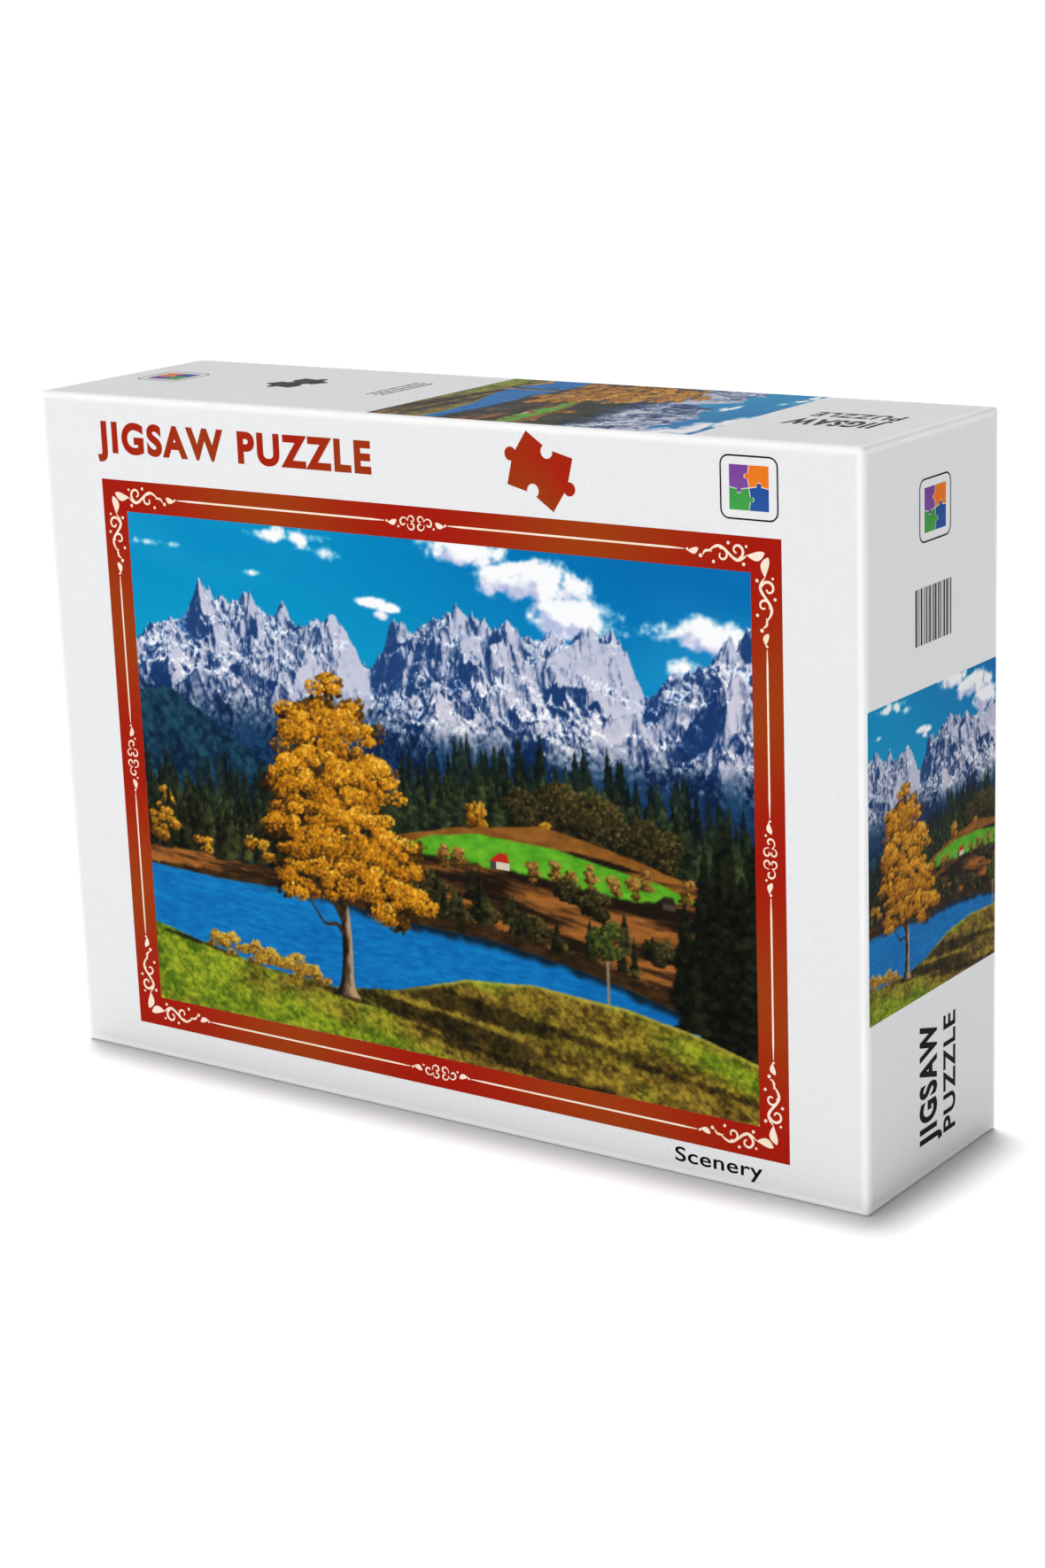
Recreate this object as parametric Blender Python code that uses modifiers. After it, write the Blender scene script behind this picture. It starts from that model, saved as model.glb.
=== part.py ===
"""Boxed jigsaw puzzle: a two-piece rigid board box that stands on one long side.

The lid's big panel faces -Y and its walls telescope over the whole depth of the tray. Both are
made the way set-up boxes are: a scored and folded board, a paper stay at each corner, and a paper
wrap glued around the outside and turned in over the rim. The tray holds two vented film bags of
loose pieces and a folded reference poster.

Metres, +Z up. The origin is the middle of the face that the box stands on.
"""

import math

import bmesh
import bpy
from mathutils import Matrix, Vector

# Outside of the closed box
BOX_WIDTH = 0.371
BOX_DEPTH = 0.099
BOX_HEIGHT = 0.272

# Box materials
GAP = 0.0003  # clearance between pieces that touch
PAPER = 0.0003  # wrap and stays
BOARD = 0.0015
STAY_REACH = 0.016  # width of a corner stay on each of its two walls
STAY_END_CLEARANCE = 0.003
TURN_IN = 0.016  # how far the wrap runs back inside the rim
EDGE_RADIUS = 0.0016  # rounded outer edge of a wrapped box
EDGE_SEGMENTS = 3
SHARP_ANGLE = math.radians(40)  # edges sharper than this are rounded

# How the lid sits on the tray
LID_SLACK = 0.0008  # between the lid's turned-in paper and the tray, all round
RIM_CLEARANCE = 0.0005  # between the tray's rim and the lid's panel
TRAY_PROUD = 0.001  # how far the tray's back stands out past the lid's rim

# Film bags of loose pieces
BAG_WIDTH = 0.176
BAG_HALF_DEPTH = 0.0445
BAG_SIDE_HEIGHT = 0.072
BAG_SHOULDER_HEIGHT = 0.135
BAG_SEAM_HEIGHT = 0.150
BAG_SEAM_HALF = 0.0015
BAG_BOTTOM_RADIUS = 0.020
BAG_SPACING = 0.179
FILM = 0.0003
VENT_RADIUS = 0.003
VENT_SPREAD = 0.040
VENT_HEIGHT = 0.096
VENT_SIDES = 12
ARC_STEPS = 4  # straight pieces in a bag's round bottom corner
SHOULDER_STEPS = 6  # and in its shoulder

# Loose pieces inside a bag
PILE_WIDTH = 0.170
PILE_HALF_DEPTH = 0.0424
PILE_SHIFT = 0.0013  # the pile lies this far behind the bag's middle
PILE_SIDE_HEIGHT = 0.066
PILE_TOP_HEIGHT = 0.104
PILE_TOP_HALF = 0.012
PILE_LIFT = 0.0009

# A section's depth along a bag, from its middle to its end: (share of half the width, share of depth)
BAG_TAPER = ((0.80, 1.0), (0.89, 0.96), (0.955, 0.85), (1.0, 0.62))

# Jigsaw pieces
PIECE_SIZE = 0.0180
PIECE_THICKNESS = 0.0019
PIECE_PITCH = 0.0272
PIECE_COLUMNS = 5
PIECE_ROWS = 2
PIECE_FIRST_ROW = 0.0328  # height of the first row's middle above the bag's bottom
PIECE_TURN = math.radians(137.5)  # each piece is turned this much further than the one before
KNOB_RADIUS = 0.118  # share of the piece's side
KNOB_RISE = 0.135
KNOB_OPENING = math.radians(58)  # half the angle that the knob's neck leaves open
KNOB_STEPS = 8

# Folded reference poster
POSTER_WIDTH = 0.297
POSTER_HEIGHT = 0.210
POSTER_THICKNESS = 0.0009
POSTER_FOLD_RADIUS = 0.0003

WALL_TO_BOARD = 2 * GAP + 2 * PAPER  # outer surface to the board's walls, past wrap and stay
PANEL_TO_BOARD = PAPER + GAP  # outer surface to the board's panel, past the wrap only
WALL_TOTAL = WALL_TO_BOARD + BOARD + GAP + PAPER  # outer surface to the turned-in paper
FRONT = -BOX_DEPTH / 2
BACK = BOX_DEPTH / 2
LID_RIM = BACK - TRAY_PROUD
TRAY_INSET = WALL_TOTAL + LID_SLACK
TRAY_RIM = FRONT + PANEL_TO_BOARD + BOARD + RIM_CLEARANCE
TRAY_FLOOR = TRAY_INSET + WALL_TOTAL
BAG_FLOOR = TRAY_FLOOR + GAP
PIECE_FACE = FILM + 2 * GAP - BAG_HALF_DEPTH  # the plane of the pieces' printed faces
CORNERS = {"top_left": (-1, 1), "top_right": (1, 1), "bottom_left": (-1, -1), "bottom_right": (1, -1)}


def clear_scene():
    for obj in list(bpy.data.objects):
        bpy.data.objects.remove(obj, do_unlink=True)


def make_collection(name):
    collection = bpy.data.collections.new(name)
    bpy.context.scene.collection.children.link(collection)
    return collection


def make_material(name, colour, roughness, alpha=1.0):
    """A Principled material with one colour, roughness and no metal."""
    material = bpy.data.materials.new(name)
    material.use_nodes = True
    shader = material.node_tree.nodes["Principled BSDF"]
    shader.inputs["Base Color"].default_value = (*colour, 1.0)
    shader.inputs["Roughness"].default_value = roughness
    shader.inputs["Metallic"].default_value = 0.0
    shader.inputs["Alpha"].default_value = alpha
    material.diffuse_color = (*colour, alpha)
    return material


def add_object(name, data, collection, material=None):
    obj = bpy.data.objects.new(name, data)
    collection.objects.link(obj)
    if material:
        obj.data.materials.append(material)
    return obj


def mesh_from(bm, name):
    mesh = bpy.data.meshes.new(name)
    bm.to_mesh(mesh)
    bm.free()
    return mesh


def solidify(obj, thickness):
    """Thicken an open surface on the side away from its normals."""
    modifier = obj.modifiers.new("Thickness", "SOLIDIFY")
    modifier.thickness = thickness
    modifier.offset = -1.0
    modifier.use_even_offset = True


def round_edges(obj, radius, segments=EDGE_SEGMENTS):
    modifier = obj.modifiers.new("Rounded edges", "BEVEL")
    modifier.width = radius
    modifier.segments = segments
    modifier.limit_method = "ANGLE"
    modifier.angle_limit = SHARP_ANGLE


def open_box(inset, start, end, mouth):
    """Five walls around the box's middle, inset from its outside; mouth is the open end, -1 or +1 in Y."""
    size = Vector((BOX_WIDTH - 2 * inset, abs(end - start), BOX_HEIGHT - 2 * inset))
    centre = Vector((0.0, (start + end) / 2, BOX_HEIGHT / 2))
    bm = bmesh.new()
    bmesh.ops.create_cube(bm, size=1.0, matrix=Matrix.Translation(centre) @ Matrix.Diagonal((*size, 1.0)))
    open_faces = [face for face in bm.faces if face.normal.y * mouth > 0.5]
    bmesh.ops.delete(bm, geom=open_faces, context="FACES")
    return bm


def extrude_rim(bm, inward, along):
    """Carry the open rim towards the box's middle line and along Y, as one more strip of surface."""
    rim = [edge for edge in bm.edges if edge.is_boundary]
    strip = bmesh.ops.extrude_edge_only(bm, edges=rim)["geom"]
    for vertex in [item for item in strip if isinstance(item, bmesh.types.BMVert)]:
        vertex.co.x -= math.copysign(inward, vertex.co.x)
        vertex.co.z -= math.copysign(inward, vertex.co.z - BOX_HEIGHT / 2)
        vertex.co.y += along


def make_board(name, inset, panel, rim, collection, material):
    """The folded board: a panel and four walls, from the panel's outer side to the walls' rim."""
    mouth = 1 if rim > panel else -1
    bm = open_box(inset + WALL_TO_BOARD, panel + mouth * PANEL_TO_BOARD, rim - mouth * EDGE_RADIUS, mouth)
    board = add_object(name, mesh_from(bm, name), collection, material)
    solidify(board, BOARD)
    return board


def make_wrap(name, inset, panel, rim, collection, material):
    """The paper around the board: outside, over the rim and back inside."""
    mouth = 1 if rim > panel else -1
    bm = open_box(inset, panel, rim, mouth)
    extrude_rim(bm, WALL_TOTAL, 0.0)
    extrude_rim(bm, 0.0, -mouth * TURN_IN)
    wrap = add_object(name, mesh_from(bm, name), collection, material)
    round_edges(wrap, EDGE_RADIUS)
    solidify(wrap, PAPER)
    return wrap


def make_stay(name, side, upper, inset, panel, rim, collection, material):
    """A strip of paper folded around one corner of the board, between board and wrap."""
    mouth = 1 if rim > panel else -1
    outer = inset + PAPER + GAP
    start = panel + mouth * EDGE_RADIUS
    end = rim - mouth * STAY_END_CLEARANCE
    bm = bmesh.new()
    bmesh.ops.create_grid(bm, x_segments=2, y_segments=1, size=0.5)
    corner = Vector((side * (BOX_WIDTH / 2 - outer), BOX_HEIGHT / 2 + upper * (BOX_HEIGHT / 2 - outer)))
    for vertex in bm.verts:
        across = vertex.co.x * 2 * STAY_REACH
        reach_x = max(across, 0.0)
        reach_z = max(-across, 0.0)
        along = start + (vertex.co.y + 0.5) * (end - start)
        vertex.co = Vector((corner.x - side * reach_x, along, corner.y - upper * reach_z))
    bm.normal_update()
    outward = Vector((side, 0.0, upper))
    if sum((face.normal.dot(outward) for face in bm.faces)) < 0:
        bmesh.ops.reverse_faces(bm, faces=bm.faces[:])
    stay = add_object(name, mesh_from(bm, name), collection, material)
    round_edges(stay, PAPER + GAP)
    solidify(stay, PAPER)
    return stay


def bag_outline(half_depth, side_height, shoulder_height, top_half, seam_height, radius):
    """A bag seen from its end, as (y, z) points: flat bottom, round corners, shoulders, top seam."""
    side = []
    for step in range(ARC_STEPS + 1):
        angle = math.pi / 2 * step / ARC_STEPS
        side.append((half_depth - radius + radius * math.sin(angle), radius - radius * math.cos(angle)))
    for step in range(SHOULDER_STEPS + 1):
        share = step / SHOULDER_STEPS
        ease = 0.5 + 0.5 * math.cos(math.pi * share)
        rise = side_height + (shoulder_height - side_height) * share
        side.append((top_half + (half_depth - top_half) * ease, rise))
    if seam_height > shoulder_height:
        side.append((top_half, seam_height))
    return side + [(-y, z) for y, z in reversed(side)]


def loft_bag(outline, width, seam_half):
    """Carry the outline along X and draw its depth in towards both ends."""
    taper = [(-share, depth) for share, depth in reversed(BAG_TAPER)] + list(BAG_TAPER)
    bm = bmesh.new()
    rings = []
    for share, depth in taper:
        ring = []
        for y, z in outline:
            drawn = math.copysign(max(abs(y) * depth, min(abs(y), seam_half)), y)
            ring.append(bm.verts.new((share * width / 2, drawn, z)))
        rings.append(ring)
    for near, far in zip(rings, rings[1:]):
        for index in range(len(near)):
            after = (index + 1) % len(near)
            bm.faces.new((near[index], near[after], far[after], far[index]))
    bm.faces.new(reversed(rings[0]))
    bm.faces.new(rings[-1])
    bmesh.ops.recalc_face_normals(bm, faces=bm.faces[:])
    return bm


def make_vent_cutter(name, location, collection):
    bm = bmesh.new()
    bmesh.ops.create_cone(
        bm,
        cap_ends=True,
        segments=VENT_SIDES,
        radius1=VENT_RADIUS,
        radius2=VENT_RADIUS,
        depth=BAG_HALF_DEPTH,
        matrix=Matrix.Rotation(math.pi / 2, 4, "X"),
    )
    cutter = add_object(name, mesh_from(bm, name), collection)
    cutter.location = location
    cutter.hide_render = True
    cutter.display_type = "WIRE"
    return cutter


def make_bag(name, centre_x, collection, cutters, material):
    """The clear film of one bag, with two punched vent holes high on its front."""
    outline = bag_outline(
        BAG_HALF_DEPTH,
        BAG_SIDE_HEIGHT,
        BAG_SHOULDER_HEIGHT,
        BAG_SEAM_HALF,
        BAG_SEAM_HEIGHT,
        BAG_BOTTOM_RADIUS,
    )
    bag = add_object(name, mesh_from(loft_bag(outline, BAG_WIDTH, BAG_SEAM_HALF), name), collection, material)
    bag.location = (centre_x, 0.0, BAG_FLOOR)
    solidify(bag, FILM)
    for side in (-1, 1):
        place = (centre_x + side * VENT_SPREAD, -BAG_HALF_DEPTH, BAG_FLOOR + VENT_HEIGHT)
        cutter = make_vent_cutter(f"{name}_vent_{'left' if side < 0 else 'right'}", place, cutters)
        cut = bag.modifiers.new("Vent", "BOOLEAN")
        cut.operation = "DIFFERENCE"
        cut.solver = "EXACT"
        cut.object = cutter
    return bag


def make_pile(name, centre_x, collection, material):
    """The loose pieces in one bag as one solid that fills the bag behind its front layer."""
    outline = bag_outline(
        PILE_HALF_DEPTH,
        PILE_SIDE_HEIGHT,
        PILE_TOP_HEIGHT,
        PILE_TOP_HALF,
        PILE_TOP_HEIGHT,
        BAG_BOTTOM_RADIUS,
    )
    pile = add_object(name, mesh_from(loft_bag(outline, PILE_WIDTH, 0.0), name), collection, material)
    pile.location = (centre_x, PILE_SHIFT, BAG_FLOOR + PILE_LIFT)
    return pile


def side_profile(knob):
    """One side of a piece from (0, 0) to (1, 0): knob is +1 for a tab, -1 for a blank, 0 for straight."""
    if knob == 0:
        return [(0.0, 0.0)]
    points = [(0.0, 0.0)]
    sweep = 2 * (math.pi - KNOB_OPENING)
    for step in range(KNOB_STEPS + 1):
        angle = -math.pi / 2 - KNOB_OPENING - sweep * step / KNOB_STEPS
        across = 0.5 + KNOB_RADIUS * math.cos(angle)
        out = KNOB_RISE + KNOB_RADIUS * math.sin(angle)
        points.append((across, knob * max(out, 0.0)))
    return points


def piece_outline(knobs):
    """The closed outline of a piece around its middle, with one knob value for each side."""
    points = []
    for turn, knob in enumerate(knobs):
        spin = Matrix.Rotation(turn * math.pi / 2, 2)
        for across, out in side_profile(knob):
            points.append(spin @ (Vector((across - 0.5, -0.5 - out)) * PIECE_SIZE))
    return points


def make_piece(name, knobs, centre, angle, collection, material):
    """One die-cut piece: its outline, filled and extruded, standing flat against the bag's front."""
    curve = bpy.data.curves.new(name, "CURVE")
    curve.dimensions = "2D"
    curve.fill_mode = "BOTH"
    curve.extrude = PIECE_THICKNESS / 2
    outline = piece_outline(knobs)
    spline = curve.splines.new("POLY")
    spline.points.add(len(outline) - 1)
    for point, place in zip(spline.points, outline):
        point.co = (place.x, place.y, 0.0, 1.0)
    spline.use_cyclic_u = True
    piece = add_object(name, curve, collection, material)
    piece.matrix_world = (
        Matrix.Translation(centre) @ Matrix.Rotation(math.pi / 2, 4, "X") @ Matrix.Rotation(angle, 4, "Z")
    )
    return piece


def knob_values(index):
    """Tabs and blanks for the piece of this number: every fourth is a border piece."""
    first = 0 if index % 4 == 3 else 1 - 2 * (index % 2)
    return (first, 1 - 2 * (index // 2 % 2), 1 - 2 * ((index + index // 3) % 2), 1 - 2 * (index // 5 % 2))


def make_pieces(centre_x, first_index, collection, material):
    """The front layer of one bag: rows and columns of separate pieces, each turned its own way."""
    for place in range(PIECE_ROWS * PIECE_COLUMNS):
        row, column = divmod(place, PIECE_COLUMNS)
        index = first_index + place
        centre = Vector(
            (
                centre_x + (column - (PIECE_COLUMNS - 1) / 2) * PIECE_PITCH,
                PIECE_FACE + PIECE_THICKNESS / 2,
                BAG_FLOOR + PIECE_FIRST_ROW + row * PIECE_PITCH,
            )
        )
        turn = PIECE_TURN * index
        make_piece(f"puzzle_piece_{index + 1:02d}", knob_values(index), centre, turn, collection, material)


def make_poster(collection, material):
    """The reference poster, folded twice to a quarter of its size, standing against the tray's panel."""
    back = BACK - PANEL_TO_BOARD - BOARD - GAP
    centre = Vector((0.0, back - POSTER_THICKNESS / 2, TRAY_FLOOR + GAP + POSTER_HEIGHT / 2))
    size = (POSTER_WIDTH, POSTER_THICKNESS, POSTER_HEIGHT, 1.0)
    bm = bmesh.new()
    bmesh.ops.create_cube(bm, size=1.0, matrix=Matrix.Diagonal(size))
    poster = add_object("reference_poster", mesh_from(bm, "reference_poster"), collection, material)
    poster.location = centre
    round_edges(poster, POSTER_FOLD_RADIUS, segments=2)
    return poster


def make_shell(prefix, inset, panel, rim, collection, board_material, wrap_material, stay_material):
    """Board, wrap and four corner stays of the lid or of the tray."""
    make_board(f"{prefix}_board", inset, panel, rim, collection, board_material)
    make_wrap(f"{prefix}_wrap", inset, panel, rim, collection, wrap_material)
    for place, (side, upper) in CORNERS.items():
        name = f"{prefix}_corner_stay_{place}"
        make_stay(name, side, upper, inset, panel, rim, collection, stay_material)


def main():
    clear_scene()
    parts = make_collection("boxed_jigsaw_puzzle")
    cutters = make_collection("cutters")

    greyboard = make_material("greyboard", (0.45, 0.41, 0.36), 0.85)
    lid_paper = make_material("lid_paper", (0.86, 0.87, 0.90), 0.30)
    tray_paper = make_material("tray_paper", (0.88, 0.88, 0.88), 0.55)
    stay_paper = make_material("stay_paper", (0.66, 0.57, 0.43), 0.80)
    film = make_material("film", (0.93, 0.95, 0.97), 0.12, alpha=0.3)
    loose_pieces = make_material("loose_pieces", (0.20, 0.33, 0.42), 0.60)
    piece_board = make_material("piece_board", (0.26, 0.38, 0.30), 0.50)
    poster_paper = make_material("poster_paper", (0.30, 0.48, 0.62), 0.40)

    make_shell("lid", 0.0, FRONT, LID_RIM, parts, greyboard, lid_paper, stay_paper)
    make_shell("tray", TRAY_INSET, BACK, TRAY_RIM, parts, greyboard, tray_paper, stay_paper)
    for number, side in enumerate((-1, 1)):
        place = "left" if side < 0 else "right"
        centre_x = side * BAG_SPACING / 2
        make_bag(f"piece_bag_{place}", centre_x, parts, cutters, film)
        make_pile(f"loose_pieces_{place}", centre_x, parts, loose_pieces)
        make_pieces(centre_x, number * PIECE_ROWS * PIECE_COLUMNS, parts, piece_board)
    make_poster(parts, poster_paper)


main()
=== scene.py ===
"""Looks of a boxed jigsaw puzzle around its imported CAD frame.

The wraps of lid and tray, the loose pieces, their film bags and the poster are replaced by finer
meshes. Boards and corner stays keep their CAD shapes and get their own materials. Everything that
is printed is a thin layer of its own on the box, and its landscape is painted by formula below.
Lengths are in metres unless a comment says millimetres. The colours of the painting, of inks and
of other prints are sRGB values, and those that go straight into a material are linear.
"""

import math

import bmesh
import bpy
import numpy as np
from mathutils import Matrix, Vector


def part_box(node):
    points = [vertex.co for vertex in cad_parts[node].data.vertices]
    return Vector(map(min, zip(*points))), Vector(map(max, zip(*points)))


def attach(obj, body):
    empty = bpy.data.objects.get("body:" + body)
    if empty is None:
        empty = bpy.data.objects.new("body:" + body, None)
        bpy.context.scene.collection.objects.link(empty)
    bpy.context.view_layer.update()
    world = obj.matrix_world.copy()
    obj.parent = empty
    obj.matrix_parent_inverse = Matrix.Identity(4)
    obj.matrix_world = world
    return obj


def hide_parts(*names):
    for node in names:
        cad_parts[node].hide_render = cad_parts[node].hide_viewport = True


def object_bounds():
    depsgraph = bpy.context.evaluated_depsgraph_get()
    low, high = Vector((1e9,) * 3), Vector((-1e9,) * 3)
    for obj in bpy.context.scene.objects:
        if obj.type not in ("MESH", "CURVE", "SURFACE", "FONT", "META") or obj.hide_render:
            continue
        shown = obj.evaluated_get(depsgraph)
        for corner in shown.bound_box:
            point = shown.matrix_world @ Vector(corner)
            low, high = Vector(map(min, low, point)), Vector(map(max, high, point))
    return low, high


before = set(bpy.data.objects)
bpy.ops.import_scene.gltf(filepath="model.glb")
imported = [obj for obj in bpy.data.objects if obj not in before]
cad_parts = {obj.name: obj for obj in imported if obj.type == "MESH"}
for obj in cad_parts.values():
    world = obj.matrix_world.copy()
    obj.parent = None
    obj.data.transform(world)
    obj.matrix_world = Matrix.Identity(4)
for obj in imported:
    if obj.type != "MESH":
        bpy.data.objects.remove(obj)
CAD_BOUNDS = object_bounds()


# ---------------------------------------------------------------- the painting

ART_WIDTH, ART_HEIGHT = 1024, 728
CANVAS_SHAPE = ART_HEIGHT / ART_WIDTH
RELIEF_STEPS = 480  # rows of the mountains' height field, from near to far
MOUNTAIN_SUN = 0.72, 0.34, 0.50  # from the right, from behind the range and from above

# Places on the canvas are (u, v) from 0 to 1, from its lower left corner. Colours are sRGB.
CLOUD_BANKS = (  # u, v, half width, half height, weight
    (0.60, 0.985, 0.11, 0.045, 0.95), (0.68, 0.950, 0.13, 0.060, 1.08), (0.735, 0.885, 0.10, 0.055, 1.05),
    (0.775, 0.825, 0.060, 0.040, 0.92), (0.93, 0.880, 0.11, 0.048, 1.05), (0.90, 0.820, 0.055, 0.038, 0.9),
    (0.420, 0.875, 0.028, 0.014, 0.88), (0.450, 0.866, 0.026, 0.012, 0.80), (0.438, 0.852, 0.016, 0.009, 0.7),
    (0.27, 0.985, 0.13, 0.026, 0.74), (0.34, 0.955, 0.07, 0.030, 0.66), (0.045, 0.945, 0.075, 0.014, 0.58),
    (0.215, 0.905, 0.036, 0.010, 0.62), (0.52, 0.985, 0.05, 0.014, 0.56))
FAR_PEAKS = (
    (0, 0.18), (0.05, 0.22), (0.10, 0.255), (0.145, 0.31), (0.20, 0.34), (0.27, 0.33), (0.335, 0.265),
    (0.40, 0.19), (0.455, 0.27), (0.525, 0.335), (0.575, 0.295), (0.645, 0.265), (0.71, 0.265),
    (0.765, 0.30), (0.80, 0.28), (0.85, 0.22), (0.895, 0.30), (0.95, 0.345), (1, 0.34))
NEAR_PEAKS = (
    (0, 0.06), (0.2, 0.08), (0.37, 0.07), (0.44, 0.14), (0.53, 0.22), (0.58, 0.12), (0.64, 0.10),
    (0.71, 0.16), (0.77, 0.20), (0.84, 0.14), (0.90, 0.18), (0.96, 0.26), (1, 0.24))
FIR_BELT = ((0, 0.35), (0.2, 0.345), (0.4, 0.385), (0.55, 0.45), (0.75, 0.455), (1, 0.40))
HEATH_FIRS = ((0.4, 0.28), (0.6, 0.26), (0.8, 0.21), (0.92, 0.19))
LEFT_FIRS = ((0, 0.325), (0.2, 0.315), (0.45, 0.30))

# Ragged lines: knots, roughness, cells of noise and its seed.
LEFT_HILL = (
    ((0, 0.645), (0.06, 0.655), (0.12, 0.61), (0.20, 0.545), (0.30, 0.505), (0.45, 0.44), (1, 0.3)),
    0.02, 18, 61)
MIDDLE_HILL = (
    ((0, 0.3), (0.40, 0.50), (0.50, 0.515), (0.62, 0.50), (0.72, 0.53), (0.84, 0.50), (1, 0.56)),
    0.03, 18, 65)
KNOLL = (
    ((0, 0), (0.44, 0.43), (0.55, 0.466), (0.68, 0.492), (0.78, 0.470), (0.90, 0.43), (1, 0.40)),
    0.006, 30, 70)
HEATH = (
    ((0, 0.335), (0.25, 0.322), (0.40, 0.385), (0.48, 0.425), (0.60, 0.455), (0.75, 0.452), (0.88, 0.425),
     (1, 0.40)), 0.012, 30, 71)
MEADOW_TOP = (
    ((0, 0), (0.43, 0.40), (0.50, 0.440), (0.58, 0.458), (0.70, 0.452), (0.86, 0.418), (1, 0.36)),
    0.005, 30, 75)
MEADOW_FOOT = (
    ((0, 1), (0.43, 0.405), (0.56, 0.402), (0.70, 0.395), (0.80, 0.378), (0.9, 0.39), (1, 0.40)),
    0.014, 40, 77)
WATER = (
    ((0, 0.288), (0.12, 0.280), (0.30, 0.285), (0.42, 0.262), (0.60, 0.255), (0.75, 0.225), (0.90, 0.180),
     (1, 0.14)), 0.006, 24, 83)
BANK = (
    ((0, 0.296), (0.12, 0.292), (0.30, 0.305), (0.42, 0.285), (0.60, 0.280), (0.75, 0.252), (0.90, 0.215),
     (1, 0.19)), 0.022, 40, 85)
NEAR_SHORE = (
    ((0, 0.165), (0.08, 0.142), (0.20, 0.112), (0.33, 0.100), (0.44, 0.122), (0.55, 0.168), (0.66, 0.182),
     (0.80, 0.172), (0.90, 0.150), (1.0, 0.115)), 0.004, 40, 91)

# Lobes of foliage: u, v, half width, half height.
GROVES = ((0.66, 0.505, 0.030, 0.050), (0.715, 0.515, 0.040, 0.060), (0.77, 0.50, 0.035, 0.055),
          (0.845, 0.48, 0.045, 0.055))
LEFT_BUSHES = ((0.03, 0.37, 0.03, 0.035), (0.10, 0.345, 0.012, 0.02), (0.20, 0.35, 0.02, 0.025))
SAPLING = ((0.777, 0.285, 0.022, 0.034), (0.777, 0.325, 0.012, 0.028))
REEDS = tuple(
    (0.115 + 0.024 * i, 0.150 - 0.0042 * i, 0.016, 0.016 + 0.008 * math.sin(i * 2.3)) for i in range(9))
CROWN = (
    (0.330, 0.665, 0.042, 0.050), (0.290, 0.600, 0.045, 0.060), (0.362, 0.610, 0.058, 0.062),
    (0.262, 0.495, 0.036, 0.060), (0.325, 0.500, 0.070, 0.080), (0.400, 0.510, 0.048, 0.060),
    (0.285, 0.405, 0.060, 0.055), (0.370, 0.405, 0.080, 0.070), (0.440, 0.385, 0.040, 0.045),
    (0.305, 0.320, 0.065, 0.040), (0.400, 0.315, 0.070, 0.042), (0.455, 0.300, 0.035, 0.028),
    (0.262, 0.275, 0.024, 0.016), (0.425, 0.262, 0.030, 0.016))
LIMBS = (  # u, v, lean, length, thickness
    (0.345, 0.24, -0.7, 0.13, 0.006), (0.346, 0.26, 0.6, 0.15, 0.006), (0.344, 0.33, -0.45, 0.16, 0.005),
    (0.347, 0.36, 0.5, 0.16, 0.005), (0.345, 0.42, -0.25, 0.20, 0.005), (0.346, 0.44, 0.3, 0.18, 0.004),
    (0.344, 0.21, -1.2, 0.06, 0.004))
YELLOW_TREES = (  # u, v, half height
    (0.035, 0.40, 0.045), (0.072, 0.365, 0.030), (0.155, 0.375, 0.025), (0.575, 0.495, 0.030),
    (0.685, 0.475, 0.020))
MEADOW_TREES = (0.665, 0.70, 0.725, 0.755, 0.79, 0.82, 0.84, 0.90, 0.52, 0.545)
SHRUBS = (  # u, v, half width
    (0.50, 0.33, 0.030), (0.535, 0.29, 0.025), (0.585, 0.31, 0.018), (0.665, 0.29, 0.022),
    (0.715, 0.26, 0.022), (0.76, 0.36, 0.020), (0.72, 0.375, 0.015), (0.86, 0.29, 0.020))
RIGHT_FIRS = (  # u, v of the foot, height, width
    (0.895, 0.19, 0.20, 0.06), (0.925, 0.15, 0.33, 0.09), (1.005, 0.10, 0.44, 0.16),
    (0.955, 0.12, 0.42, 0.13), (0.905, 0.15, 0.16, 0.06), (0.98, 0.11, 0.34, 0.12))
SHADOWS = (  # u, v, half width, half height, weight
    (0.50, 0.124, 0.20, 0.023, 1.0), (0.52, 0.070, 0.16, 0.020, 0.95), (0.70, 0.100, 0.16, 0.012, 0.6),
    (0.88, 0.060, 0.14, 0.012, 0.6), (0.62, 0.020, 0.22, 0.016, 0.6), (0.34, 0.088, 0.07, 0.008, 0.8),
    (0.10, 0.135, 0.10, 0.006, 0.7))

# Leaf colours, from shade to light.
AUTUMN = ((0.30, 0.17, 0.04), (0.52, 0.33, 0.07), (0.72, 0.50, 0.12), (0.86, 0.66, 0.20))
BRONZE = ((0.06, 0.06, 0.035), (0.13, 0.12, 0.06), (0.23, 0.20, 0.10), (0.36, 0.31, 0.16))
RUST = ((0.20, 0.13, 0.05), (0.38, 0.26, 0.10), (0.60, 0.42, 0.18), (0.74, 0.56, 0.28))
SHRUB = ((0.05, 0.05, 0.03), (0.12, 0.12, 0.06), (0.24, 0.22, 0.11), (0.38, 0.33, 0.16))
YOUNG_GREEN = ((0.08, 0.11, 0.04), (0.16, 0.20, 0.08), (0.28, 0.32, 0.13), (0.40, 0.42, 0.18))
REED = ((0.34, 0.24, 0.08), (0.56, 0.40, 0.12), (0.74, 0.58, 0.20), (0.86, 0.74, 0.32))
CROWN_SHADE = ((0.10, 0.07, 0.03), (0.20, 0.13, 0.04), (0.34, 0.21, 0.05), (0.46, 0.29, 0.06))
GOLD = ((0.26, 0.16, 0.04), (0.44, 0.27, 0.05), (0.62, 0.38, 0.06), (0.76, 0.48, 0.07), (0.84, 0.57, 0.10),
        (0.90, 0.66, 0.17), (0.96, 0.78, 0.32))


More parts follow.
